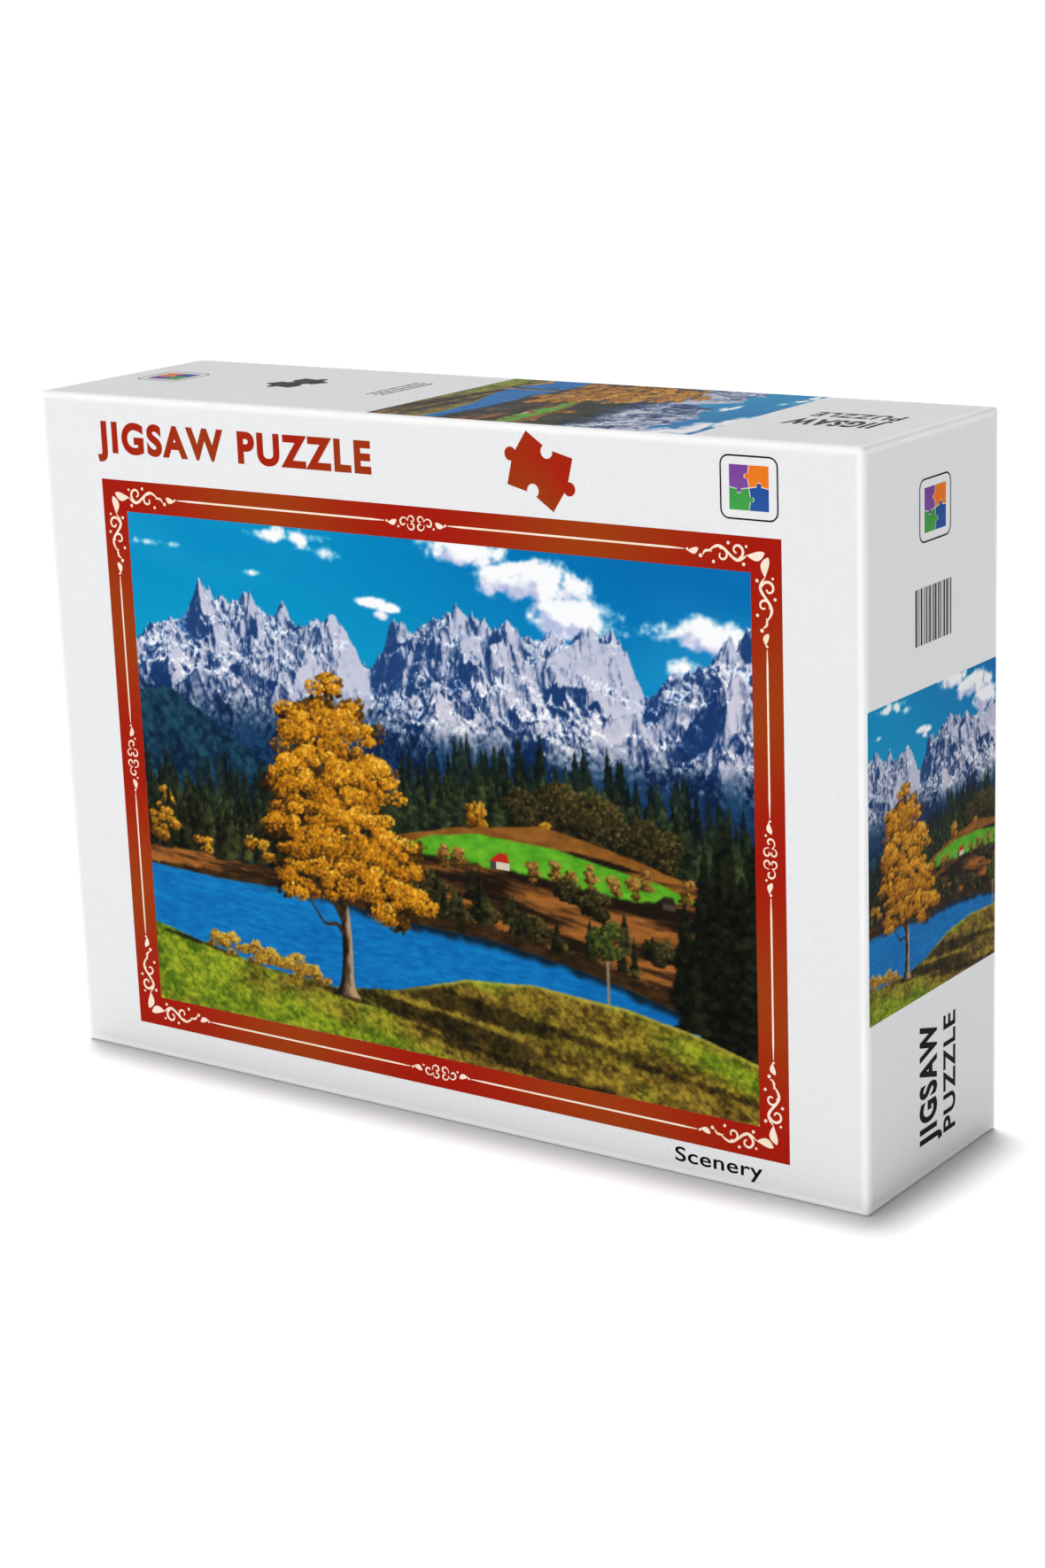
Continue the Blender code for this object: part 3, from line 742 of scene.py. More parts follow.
def edge_highlight_and_wear(shading, low, high):
    """How near a point is to two faces of the box at once, with a little noise: the share of painted edge
    highlight, lighter paper as if rubbed.
    """
    near = []
    split = shading.node("ShaderNodeSeparateXYZ")
    shading.link(shading.coordinates, split.inputs[0])
    for axis in range(3):
        middle, half = (low[axis] + high[axis]) / 2, (high[axis] - low[axis]) / 2
        offset = shading.maths("SUBTRACT", split.outputs[axis], middle)
        away = shading.maths("ABSOLUTE", offset)
        near.append(shading.remap(away, half - EDGE_BAND, half - 0.3 * EDGE_BAND))
    pairs = [shading.maths("MULTIPLY", near[a], near[b]) for a, b in ((0, 1), (1, 2), (0, 2))]
    edge = shading.maths("MAXIMUM", shading.maths("MAXIMUM", pairs[0], pairs[1]), pairs[2])
    return shading.maths("MULTIPLY", edge, shading.remap(shading.noise(45, 3), 0.3, 0.6, 0.75, 1.0))


def printed_paper(name, roughness=0.42):
    """Printed paper: the layer's own colours, with a fine screen of ink."""
    shading = Shading(name, roughness, Specular_IOR_Level=0.02)
    screen = shading.remap(shading.noise(1500, 2), 0.3, 0.7, 0.0, 0.07)
    shading.colour(shading.blend(screen, shading.prints(), (0.25, 0.25, 0.25), "OVERLAY"))
    shading.paper_surface(80, 4, roughness, ((*BOARD_WAVE, 0.12), (1600, 2, 0.00004, 0.2)))
    return shading.material


def ink(name, first_srgb, second_srgb, scale=25, roughness=0.4):
    """One ink that drifts slowly between two shades."""
    shading = Shading(name, roughness, Specular_IOR_Level=0.02)
    drift = shading.remap(shading.noise(scale, 1), 0.35, 0.65)
    shading.colour(shading.blend(drift, to_linear(first_srgb), to_linear(second_srgb)))
    shading.paper_surface(90, 3, roughness, ((1600, 2, 0.00003, 0.2),))
    return shading.material


def greyboard(name):
    """Recycled chipboard: grey-brown felt with darker and lighter flecks and short fibres."""
    shading = Shading(name, 0.88)
    fibres = shading.noise(260, 6, 0.65, (1.0, 1.0, 3.0))
    base = shading.blend(shading.remap(fibres, 0.3, 0.7), (0.36, 0.32, 0.27), (0.52, 0.48, 0.42))
    flecks = shading.remap(shading.noise(900, 2), 0.68, 0.74)
    pale = shading.remap(shading.noise(700, 2), 0.30, 0.26)
    base = shading.blend(flecks, base, (0.16, 0.14, 0.12))
    shading.colour(shading.blend(pale, base, (0.66, 0.63, 0.57)))
    shading.bump([(shading.noise(420, 5, 0.7), 0.00012, 0.5)])
    return shading.material


def kraft_tape(name):
    shading = Shading(name, 0.7)
    fibres = shading.noise(180, 6, 0.6, (1.0, 0.15, 1.0))
    shading.colour(shading.blend(shading.remap(fibres, 0.3, 0.7), (0.42, 0.28, 0.15), (0.60, 0.43, 0.26)))
    shading.bump([(fibres, 0.00008, 0.4)])
    return shading.material


def clear_film(name):
    """Thin clear film: nearly invisible where it lies smooth, with painted glints along its creases, where it
    turns whiter and more opaque.
    """
    shading = Shading(name, 0.12, Specular_IOR_Level=0.9)
    fine = shading.noise(38, 5, 0.6, (1.0, 1.0, 0.5))
    crease = shading.remap(shading.noise(60, 3, 0.5, (1.6, 1.0, 0.6)), 0.47, 0.53)
    ridge = shading.maths("PINGPONG", crease, 0.5)
    # Painted glints: the white film is more opaque along the creases, standing for light caught in the folds.
    crease_glint = shading.remap(ridge, 0.1, 0.5, 0.10, 0.34)
    shading.link(crease_glint, shading.shader.inputs["Alpha"])
    shading.colour(shading.blend(shading.remap(fine, 0.4, 0.6), (0.90, 0.93, 0.95), (1.0, 1.0, 1.0)))
    shading.roughness(fine, 0.08, 0.22)
    shading.bump([(fine, 0.0035, 0.5)])
    return shading.material


def die_cut_board(name):
    """Die-cut puzzle board: printed linen-embossed face and bare grey edges."""
    shading = Shading(name, 0.42)
    fibres = shading.remap(shading.noise(700, 4, 0.7), 0.3, 0.7, 0.0, 0.22)
    shading.colour(shading.blend(fibres, shading.prints(), (0.30, 0.30, 0.30), "OVERLAY"))
    shading.roughness(shading.noise(120, 3), 0.34, 0.5)
    shading.bump([(shading.noise(1400, 2), 0.00008, 0.35)])
    return shading.material


def heap_board(name):
    """Cells of print and bare board for the pieces deep in the pile, with painted shade, near black, in the
    gaps between them.
    """
    shading = Shading(name, 0.8)
    gaps = shading.cells("DISTANCE_TO_EDGE", "Distance")
    tint = shading.blend(0.75, shading.cells("F1", "Color"), (0.14, 0.15, 0.13))
    # Painted shade: each cell turns near black towards its edge, in the gaps between pieces.
    edge = shading.remap(gaps, 0.02, 0.12)
    shading.colour(shading.blend(edge, (0.01, 0.01, 0.01), tint))
    shading.bump([(gaps, 0.002, 0.8)])
    return shading.material


# ---------------------------------------------------------------- wraps


def fold_rim(bm, centre, inward, along):
    """Carry the open rim towards the box's middle line and along Y."""
    rim = [edge for edge in bm.edges if edge.is_boundary]
    strip = bmesh.ops.extrude_edge_only(bm, edges=rim)["geom"]
    for vertex in (item for item in strip if isinstance(item, bmesh.types.BMVert)):
        vertex.co.x -= math.copysign(inward, vertex.co.x - centre.x)
        vertex.co.z -= math.copysign(inward, vertex.co.z - centre.z)
        vertex.co.y += along


def wrap_box(name, node, mouth, body, material):
    """The paper around a board: five rounded faces, over the rim and back inside, as the CAD wrap."""
    low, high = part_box(node)
    centre = (low + high) / 2
    block = Matrix.Translation(centre) @ Matrix.Diagonal((*(high - low), 1.0))
    bm = bmesh.new()
    bmesh.ops.create_cube(bm, size=1.0, matrix=block)
    bmesh.ops.delete(bm, geom=[f for f in bm.faces if f.normal.y * mouth > 0.5], context="FACES")
    fold_rim(bm, centre, RIM_WIDTH, 0.0)
    fold_rim(bm, centre, 0.0, -mouth * TURN_IN)
    sharp = [edge for edge in bm.edges if len(edge.link_faces) == 2 and edge.calc_face_angle() > SHARP_ANGLE]
    bmesh.ops.bevel(bm, geom=sharp, offset=EDGE_RADIUS, segments=6, profile=0.5, affect="EDGES",
                    clamp_overlap=True)
    wrap = add_piece(name, mesh_from(bm, name), body, material)
    thicken(wrap, "Paper", PAPER).use_even_offset = True
    normals = wrap.modifiers.new("Flat faces", "WEIGHTED_NORMAL")
    normals.keep_sharp = True
    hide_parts(node)


# ---------------------------------------------------------------- flat shapes


class Shapes:
    """Collects flat filled outlines that are printed in one ink into one mesh."""

    def __init__(self, thickness=INK_LIFT):
        self.vertices = []
        self.faces = []
        self.lift = thickness

    def next_level(self):
        """Each stroke lies a little above the one before, so that crossing strokes never share a plane."""
        self.lift += STROKE_STEP
        return self.lift

    def outline(self, points):
        """A filled outline, given counter-clockwise, with a skirt down to the paper."""
        first = len(self.vertices)
        count = len(points)
        level = self.next_level()
        self.vertices += [(x, y, level) for x, y in points]
        self.vertices += [(x, y, 0.0) for x, y in points]
        self.faces.append(tuple(range(first, first + count)))
        for index in range(count):
            after = (index + 1) % count
            self.faces.append((first + index, first + count + index, first + count + after, first + after))

    def ribbon(self, points, widths):
        """A stroke along points whose width runs through widths."""
        points = np.asarray(points, float)
        steps = np.linspace(0, 1, len(points))
        width = np.interp(steps, np.linspace(0, 1, len(widths)), widths) / 2
        along = np.gradient(points, axis=0)
        along /= np.linalg.norm(along, axis=1)[:, None] + 1e-12
        side = np.stack([-along[:, 1], along[:, 0]], -1) * width[:, None]
        first = len(self.vertices)
        level = self.next_level()
        for left, right in zip(points + side, points - side):
            self.vertices += [(*left, level), (*right, level)]
        for index in range(len(points) - 1):
            at = first + 2 * index
            self.faces.append((at, at + 1, at + 3, at + 2))

    def disc(self, x, y, radius, sides=14):
        angles = [i * (2 * math.pi / sides) for i in range(sides)]
        self.outline([(x + radius * math.cos(angle), y + radius * math.sin(angle)) for angle in angles])

    def rectangle(self, x, y, wide, tall):
        self.outline([(x, y), (x + wide, y), (x + wide, y + tall), (x, y + tall)])

    def transformed(self, matrix, other):
        """Take another collection's shapes, moved by a matrix; a mirroring matrix turns its faces round."""
        first = len(self.vertices)
        self.vertices += [tuple(matrix @ Vector(vertex)) for vertex in other.vertices]
        flipped = matrix.determinant() < 0
        for face in other.faces:
            shifted = tuple(first + index for index in face)
            self.faces.append(tuple(reversed(shifted)) if flipped else shifted)

    def add(self, name, material, place):
        """Print the shapes on the lid."""
        add_print(name, make_mesh(name, self.vertices, self.faces), material, place)


MIRROR = Matrix.Diagonal((-1, 1, 1, 1))


def move(x, y):
    return Matrix.Translation((x, y, 0))


def rounded_rectangle(x, y, wide, tall, radius, steps=6):
    points = []
    right, top = x + wide - radius, y + tall - radius
    left, bottom = x + radius, y + radius
    for corner, (cx, cy) in enumerate(((right, bottom), (right, top), (left, top), (left, bottom))):
        for step in range(steps + 1):
            angle = math.pi / 2 * (corner - 1 + step / steps)
            points.append((cx + radius * math.cos(angle), cy + radius * math.sin(angle)))
    return points


KNOB_RADIUS, KNOB_RISE = 0.118, 0.135  # in piece sizes; the rise is that of the knob's middle
KNOB_OPENING = 1.0  # half of the knob's open angle, in radians


def piece_outline(knobs, size, steps=12):
    """A jigsaw piece around its middle: for each side +1 is a tab, -1 a blank and 0 straight."""
    points = []
    sweep = 2 * (math.pi - KNOB_OPENING)
    for turn, knob in enumerate(knobs):
        side = [(0.0, 0.0)]
        for step in range(steps + 1) if knob else ():
            angle = -math.pi / 2 - KNOB_OPENING - sweep * step / steps
            out = max(KNOB_RISE + KNOB_RADIUS * math.sin(angle), 0.0)
            side.append((0.5 + KNOB_RADIUS * math.cos(angle), knob * out))
        cosine, sine = math.cos(turn * math.pi / 2), math.sin(turn * math.pi / 2)
        for across, out in side:
            x, y = (across - 0.5) * size, (-0.5 - out) * size
            points.append((x * cosine - y * sine, x * sine + y * cosine))
    return points


def letters(text, weight):
    """Flat letters in Blender's own plain typeface as a mesh, with their places."""
    curve_data = bpy.data.curves.new(text, "FONT")
    curve_data.body = text
    curve_data.size = 1.0
    curve_data.offset = weight
    curve_data.space_character = 1.0 + 4.2 * weight
    curve_data.extrude = INK_LIFT / 2
    holder = bpy.data.objects.new(text, curve_data)
    bpy.context.scene.collection.objects.link(holder)
    bpy.context.view_layer.update()
    mesh = bpy.data.meshes.new_from_object(holder.evaluated_get(bpy.context.evaluated_depsgraph_get()))
    bpy.data.objects.remove(holder)
    return mesh, np.array([vertex.co for vertex in mesh.vertices])


def word(name, text, width, height, material, place, weight):
    """A generic word: its width and the height of its capitals above the baseline in millimetres."""
    mesh, places = letters(text, weight)
    capital = letters("E", weight)[1]
    low, high = places.min(0), places.max(0)
    capital_height = capital[:, 1].max() - capital[:, 1].min()
    stretch = Matrix.Diagonal((width * MM / (high[0] - low[0]), height * MM / capital_height, 1.0, 1.0))
    mesh.transform(stretch @ Matrix.Translation((-low[0], -capital[:, 1].min(), -low[2])))
    mesh.name = name
    add_print(name, mesh, material, place)


def on(face, x, y, turn=0.0):
    """A place on a face, in millimetres from its corner, turned counter-clockwise by degrees."""
    return face @ move(x * MM, y * MM) @ Matrix.Rotation(math.radians(turn), 4, "Z")


# ---------------------------------------------------------------- printing on the lid

FRAME_X, FRAME_Z = 30.5, 13.3  # the frame's lower left corner; these five are in millimetres
FRAME_WIDE, FRAME_TALL = 308.9, 225.7
BAND = 12.3
PICTURE_CELLS = 512, 364
END_BAND_CELLS = 176, 200
LONG_BAND_CELLS = 176, 250
TITLE_WEIGHT, SMALL_WEIGHT, HEAVY_WEIGHT, LIGHT_WEIGHT = 0.045, 0.012, 0.042, 0.024
BADGE_HALF = 3.95 * MM  # from a badge's middle to the middle of each of its pieces
BRICK_RED, WARM_BROWN = (0.64, 0.10, 0.04), (0.61, 0.23, 0.06)


def frame_band(material):
    """The picture's printed frame: brick red that warms to brown between its ornaments."""
    wide, tall, band = FRAME_WIDE * MM, FRAME_TALL * MM, BAND * MM
    vertices, faces, colours = [], [], []
    outer = np.array(((0, 0), (wide, 0), (wide, tall), (0, tall)))
    inner = np.array(((band, band), (wide - band, band), (wide - band, tall - band), (band, tall - band)))
    along, across = 96, 3
    for side in range(4):
        after = (side + 1) % 4
        first = len(vertices)
        for i in range(along + 1):
            for j in range(across + 1):
                start = outer[side] * (1 - j / across) + inner[side] * j / across
                end = outer[after] * (1 - j / across) + inner[after] * j / across
                x, y = start + (end - start) * i / along
                vertices.append((x, y, INK_LIFT if j else 0.0))
                warmth = math.sin(2 * math.pi * i / along) ** 2
                colours.append(np.array(BRICK_RED) * (1 - warmth) + np.array(WARM_BROWN) * warmth)
        for i in range(along):
            for j in range(across):
                at = first + i * (across + 1) + j
                faces.append((at, at + across + 1, at + across + 2, at + 1))
    mesh = make_mesh("picture_frame_print", vertices, faces)
    set_print(mesh, np.array(colours))
    add_print(mesh.name, mesh, material, on(FRONT, FRAME_X, FRAME_Z))


def curl(shapes, x, y, start_radius, end_radius, start, end, widths, steps=30):
    """A stroke along a spiral around (x, y). Lengths are in millimetres and angles in degrees."""
    angles = np.radians(np.linspace(start, end, steps))
    radii = np.linspace(start_radius, end_radius, steps)
    points = np.stack([x + radii * np.cos(angles), y + radii * np.sin(angles)], -1) * MM
    shapes.ribbon(points, [width * MM for width in widths])


def leaf(shapes, x, y, length, width, turn):
    """A pointed leaf from (x, y), with a slight bend."""
    angle = math.radians(turn)
    cosine, sine = math.cos(angle), math.sin(angle)
    points = []
    for side, shares in ((1, np.linspace(0, 1, 9)), (-1, np.linspace(1, 0, 9)[1:-1])):
        for share in shares:
            bend = 0.12 * length * math.sin(math.pi * share)
            out = -side * width * math.sin(math.pi * share**0.8) / 2 + bend
            along = length * share
            points.append(((x + along * cosine - out * sine) * MM, (y + along * sine + out * cosine) * MM))
    shapes.outline(points)


BERRIES = ((9.4, 3.6, 0.65), (15.4, -3.4, 0.6), (21.4, 3.6, 0.6), (26.6, 1.9, 0.7), (8.3, -2.6, 0.5))


def corner_arm():
    """Half of a corner ornament, along +X from the corner, with y = 0 on the band's middle line."""
    arm = Shapes(2 * INK_LIFT)
    leaf(arm, 1.0, -0.9, 7.4, 3.2, 10)
    stem = np.linspace(0, 1, 40)
    sway = 2.5 * np.sin(2 * math.pi * (stem + 0.03)) * (1 - 0.25 * stem)
    widths = [0.35 * MM, 1.15 * MM, 0.85 * MM, 1.05 * MM, 0.35 * MM]
    arm.ribbon(np.stack([8.2 + 15.6 * stem, sway], -1) * MM, widths)
    curl(arm, 12.0, -0.9, 2.9, 0.7, 105, 440, (1.1, 0.95, 0.75, 0.6))
    curl(arm, 18.0, 1.0, 2.6, 0.7, -70, -400, (1.0, 0.85, 0.7, 0.55))
    curl(arm, 24.2, 2.3, 3.0, 1.6, 225, 330, (0.35, 0.95, 0.35))
    for x, y, radius in BERRIES:
        arm.disc(x * MM, y * MM, radius * MM)
    leaf(arm, 27.4, -0.6, 4.6, 2.2, 14)
    return arm


def middle_ornament():
    """The ornament halfway along a side: leaf, scrolls and leaf, symmetric about x = 0."""
    half = Shapes(2 * INK_LIFT)
    leaf(half, 8.8, -0.6, 4.4, 2.1, 14)
    curl(half, 5.7, 0.0, 2.1, 0.6, 200, 520, (0.3, 0.8, 0.5), 24)
    curl(half, 2.0, 1.1, 1.9, 0.6, -20, 300, (0.3, 0.75, 0.5), 24)
    curl(half, 2.0, -1.2, 1.7, 0.6, 20, -300, (0.3, 0.7, 0.45), 24)
    half.disc(8.1 * MM, 1.7 * MM, 0.45 * MM)
    both = Shapes()
    both.transformed(Matrix.Identity(4), half)
    both.transformed(MIRROR, half)
    return both


def hairline(start, end):
    """A line with tapered ends and a dot beyond each of them."""
    line = Shapes(2 * INK_LIFT)
    taper, dot = 6 * MM, 1.1 * MM
    places = [(start, 0), (start + taper, 0), (end - taper, 0), (end, 0)]
    line.ribbon(places, [0.3 * MM, 0.75 * MM, 0.75 * MM, 0.3 * MM])
    line.disc(start - dot, 0, 0.5 * MM)
    line.disc(end + dot, 0, 0.5 * MM)
    return line


def frame_scrollwork(material):
    """Cream ornaments and hairlines along the middle of the frame's band."""
    wide, tall, middle = FRAME_WIDE * MM, FRAME_TALL * MM, BAND / 2 * MM
    arm, centre = corner_arm(), middle_ornament()
    work = Shapes()
    arm_reach, centre_reach, inset = 32.5 * MM, 14.5 * MM, 0.6 * MM
    sides = ((wide, 0, 0), (tall, wide, 0), (wide, wide, tall), (tall, 0, tall))
    for quarter, (length, x, y) in enumerate(sides):
        side = move(x, y) @ Matrix.Rotation(quarter * math.pi / 2, 4, "Z") @ move(0, middle)
        work.transformed(side @ move(middle - inset, 0), arm)
        work.transformed(side @ move(length - middle + inset, 0) @ MIRROR, arm)
        work.transformed(side @ move(length / 2, 0), centre)
        work.transformed(side, hairline(middle + arm_reach, length / 2 - centre_reach))
        work.transformed(side, hairline(length / 2 + centre_reach, length - middle - arm_reach))
    work.add("frame_scrollwork_print", material, on(FRONT, FRAME_X, FRAME_Z))


def badge(name, place, inks):
    """A generic badge: four interlocking pieces of different colours inside a rounded outline."""
    line, *colours = inks
    shapes = Shapes()
    outer = rounded_rectangle(-11.2 * MM, -10.8 * MM, 22.4 * MM, 21.6 * MM, 3.2 * MM)
    shapes.ribbon(outer + outer[:2], [0.6 * MM, 0.6 * MM])
    shapes.add(f"{name}_outline_print", line, place)
    pieces = ((-1, -1, (0, 1, -1, 0)), (1, -1, (0, 0, 1, -1)), (1, 1, (-1, 0, 0, 1)), (-1, 1, (1, -1, 0, 0)))
    for material, (x, y, knobs) in zip(colours, pieces):
        shapes = Shapes()
        outline = piece_outline(knobs, 7.6 * MM)
        shapes.outline([(x * BADGE_HALF + px, y * BADGE_HALF + py) for px, py in outline])
        label = f"{name}_{'lower' if y < 0 else 'upper'}_{'left' if x < 0 else 'right'}_print"
        shapes.add(label, material, place)


def piece_icon(name, size, place, material):
    shapes = Shapes()
    shapes.outline(piece_outline((-1, 1, -1, 1), size * MM))
    shapes.add(name, material, place)


def bar_code(name, wide, tall, place, material):
    """Plain bars of seeded widths, which encode nothing."""
    random = np.random.default_rng(3)
    shapes = Shapes()
    at = 0.0
    while at < wide:
        bar = 0.35 + 0.35 * random.integers(0, 3)
        shapes.rectangle(at * MM, 0, min(bar, wide - at) * MM, tall * MM)
        at += bar + 0.6 + 0.35 * random.integers(0, 2)
    shapes.add(name, material, place)


def blank_lines(name, rows, place, material):
    """Lines of small dashes where fine print would be."""
    random = np.random.default_rng(11)
    shapes = Shapes()
    for row in range(rows):
        at = 0.0
        while at < 30:
            dash = 1.2 + 3.2 * random.random()
            shapes.rectangle(at * MM, -row * 3.4 * MM, dash * MM, 1.1 * MM)
            at += dash + 0.8
    shapes.add(name, material, place)


def art_print(name, art, place, size, cells, crop, material):
    """A printed part of the painting, whose rim comes down to the paper. Its size is in millimetres, and
    crop is (left, right, bottom, top) as shares of the painting."""
    left, right, bottom, top = crop
    columns, rows = cells
    a, b = np.meshgrid(np.linspace(0, 1, columns + 1), np.linspace(0, 1, rows + 1))
    lift = np.full(a.shape, INK_LIFT)
    lift[0, :] = lift[-1, :] = lift[:, 0] = lift[:, -1] = 0.0
    vertices = np.stack([a * (size[0] * MM), b * (size[1] * MM), lift], -1).reshape(-1, 3)
    mesh = make_mesh(name, vertices.tolist(), grid_faces(rows + 1, columns + 1).tolist())
    set_print(mesh, sample_art(art, left + (right - left) * a.ravel(), bottom + (top - bottom) * b.ravel()))
    add_print(name, mesh, material, place)


def print_front(art, printed, inks):
    red = inks["red"]
    frame_band(printed)
    art_print("landscape_print", art, on(FRONT, FRAME_X + BAND, FRAME_Z + BAND),
              (FRAME_WIDE - 2 * BAND, FRAME_TALL - 2 * BAND), PICTURE_CELLS, (0, 1, 0, 1), printed)
    frame_scrollwork(inks["cream"])
    word("title_first_word", "JIGSAW", 65, 12.4, red, on(FRONT, 29.5, 249.4), TITLE_WEIGHT)
    word("title_second_word", "PUZZLE", 64, 12.4, red, on(FRONT, 101.5, 249.4), TITLE_WEIGHT)
    word("series_word", "Scenery", 37, 5.6, inks["black"], on(FRONT, 291, 5.4), SMALL_WEIGHT)
    piece_icon("front_icon_print", 21.5, on(FRONT, 241.0, 255.6, -24), red)
    badge("front_badge", on(FRONT, 327.0, 255.6), inks["badge"])


BAND_WIDE = DEPTH / MM - 2 * EDGE_RADIUS / MM  # width of the painting's band on a narrow face


def print_end(side, face, art, printed, inks):
    """The narrow ends: badge, bars, a band of the painting and two words that read upwards."""
    black = inks["black"]
    badge(f"{side}_badge", on(face, 50, 244), inks["badge"])
    bar_code(f"{side}_bars_print", 27, 20, on(face, 35.5, 197.5), black)
    art_print(f"{side}_band_print", art, on(face, EDGE_RADIUS / MM, 70), (BAND_WIDE, 112), END_BAND_CELLS,
              (0.17, 0.79, 0.0, 1.0), printed)
    word(f"{side}_first_word", "JIGSAW", 47, 13, black, on(face, 51, 11.5, 90), HEAVY_WEIGHT)
    word(f"{side}_second_word", "PUZZLE", 45, 9.2, black, on(face, 65.2, 12.5, 90), LIGHT_WEIGHT)


def print_long(side, face, art, printed, inks):
    """The long sides: badge, icon, fine print, the painting turned on its side and two words."""
    black = inks["black"]
    badge(f"{side}_badge", on(face, 25, 52, 90), inks["badge"])
    piece_icon(f"{side}_icon_print", 18, on(face, 87, 55, 68), black)
    blank_lines(f"{side}_lines_print", 3, on(face, 134, 40, 90), black)
    art_print(f"{side}_band_print", art, on(face, 163, DEPTH / MM - EDGE_RADIUS / MM, -90), (BAND_WIDE, 140),
              LONG_BAND_CELLS, (0.23, 0.73, 0.0, 1.0), printed)
    word(f"{side}_first_word", "JIGSAW", 36, 13, black, on(face, 354, 49, 180), HEAVY_WEIGHT)
    word(f"{side}_second_word", "PUZZLE", 35, 9.2, black, on(face, 354, 63.6, 180), LIGHT_WEIGHT)


# ---------------------------------------------------------------- contents of the tray

GREYBOARD = (0.60, 0.57, 0.52)
PIECE_SIZE = 18 * MM
BOARD_HALF = 0.95 * MM  # half of a loose piece's thickness
PIECE_CHAMFER = 0.35 * MM
LOOSE_KNOBS = (  # the knobs of each kind of loose piece, as in piece_outline
    (1, -1, 1, -1), (1, 1, -1, -1), (1, 1, 1, -1), (-1, -1, -1, 1), (0, 1, -1, 1), (1, -1, 0, -1))
PRINT_CELL = 2.2 * MM  # spacing of the printed colours on a piece
FINISHED_WIDTH, FINISHED_HEIGHT = 0.96, 0.68  # the finished puzzle
BAG_BOTTOM_RADIUS = 20 * MM
# How the bag's depth falls from its middle to its sides: shares of the half width, and shares of the depth.
BAG_TAPER = ((0, 0.80, 0.89, 0.955, 0.985, 1.0), (1.0, 1.0, 0.95, 0.80, 0.56, 0.05))
FILM = 0.1 * MM
FILM_COLUMNS = 177
SEAM_HALF = 0.6 * MM
SIDE_SHARE, SHOULDER_SHARE = 0.48, 0.90  # of the bag's height: where straight side and shoulder end
PILE_HALF_DEPTH = 41.2 * MM
PILE_SIDE, PILE_TOP, PILE_TOP_HALF = 66 * MM, 103 * MM, 12 * MM
PILE_LAYERS = 6
PIECE_PITCH, PITCH_GROWTH = 21.5 * MM, 0.3 * MM  # spacing in the first layer, and what each adds
FACE_DOWN_SHARE = 0.34  # of the loose pieces
PLEAT_DEPTH, CREASE_DEPTH, DENT_DEPTH = 4.2, 3.0, 0.35 * MM  # of the film; the first two in millimetres
SEAL_WAVE, SEAL_RIB, SEAL_TOOTH = 2.6 * MM, 0.16 * MM, 0.9 * MM
VENT_RADIUS, VENT_SPREAD, VENT_HEIGHT = 3 * MM, 40 * MM, 96 * MM
POSTER_COLUMNS_AND_ROWS = ((150, 110), (30, 24))  # of the outer and the inner bend
POSTER_PAPER = 0.08 * MM
POSTER_SIZE, POSTER_MARGIN = (297, 210), 7  # folded, and its white border, in millimetres
NEST_SHRINK = 0.28 * 1.9  # how much tighter the inner bend is
POSTER_WHITE = (0.93, 0.93, 0.92)


class Bag:
    """The room inside one CAD bag. Places are measured from the middle of its floor."""

    def __init__(self, side):
        self.side = side
        low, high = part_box(f"piece_bag_{side}")
        self.middle = Vector(((low.x + high.x) / 2, (low.y + high.y) / 2, low.z))
        self.half_width, self.half_depth = (high.x - low.x) / 2, (high.y - low.y) / 2
        self.height = high.z - low.z
        self.straight, self.shoulder = SIDE_SHARE * self.height, SHOULDER_SHARE * self.height

    def depth(self, x, z):
        """Half of the bag's depth at x, z."""
        taper = np.interp(np.abs(x) / self.half_width, *BAG_TAPER)
        rise = np.clip((z - self.straight) / (self.shoulder - self.straight), 0, 1)
        ease = 0.5 + 0.5 * np.cos(np.pi * rise)
        depth = SEAM_HALF + (self.half_depth - SEAM_HALF) * ease
        fall = np.clip(BAG_BOTTOM_RADIUS - z, 0, BAG_BOTTOM_RADIUS)
        corner = BAG_BOTTOM_RADIUS - np.sqrt(BAG_BOTTOM_RADIUS**2 - fall**2)
        return np.maximum((depth - corner) * taper, SEAM_HALF)

    def profile(self):
        """Heights of the rows of film on one side, closer together where it curves."""
        corner = BAG_BOTTOM_RADIUS * (1 - np.cos(np.linspace(0, np.pi / 2, 9)))
        return np.concatenate([corner, np.linspace(corner[-1], self.straight, 12)[1:],
                               np.linspace(self.straight, self.shoulder, 26)[1:],
                               np.linspace(self.shoulder, self.height, 9)[1:]])


def film_sheet(bag, side, x, z, seed):
    """How far the film lies from the bag's middle plane at the points x, z: -1 is the front, +1 the back."""
    u, v = x / (2 * bag.half_width) + 0.5, z / bag.height
    number = 0 if side < 0 else 1
    above = smooth(0.55, 0.8, v) * (1 - smooth(0.86, 0.92, v))
    pleats = ridged(value_noise(u + 0.08 * v, v, 22, 3, seed + number))
    creases = ridged(fractal(u, v, 9, 8, seed + 4 + number, 3, 0.6))
    dents = DENT_DEPTH * creases**3 + above * MM * (PLEAT_DEPTH * pleats**2 + CREASE_DEPTH * creases**2)
    wave = SEAL_WAVE * smooth(bag.shoulder, bag.height, z) * (2 * value_noise(u, v * 0, 5, 1, seed + 9) - 1)
    ribs = SEAL_RIB * np.where(z > bag.shoulder, np.arange(len(z))[:, None] % 2, 0)
    depth = np.maximum(bag.depth(x, z) - dents - 0.3 * MM, SEAM_HALF / 2)
    return side * depth + wave + ribs


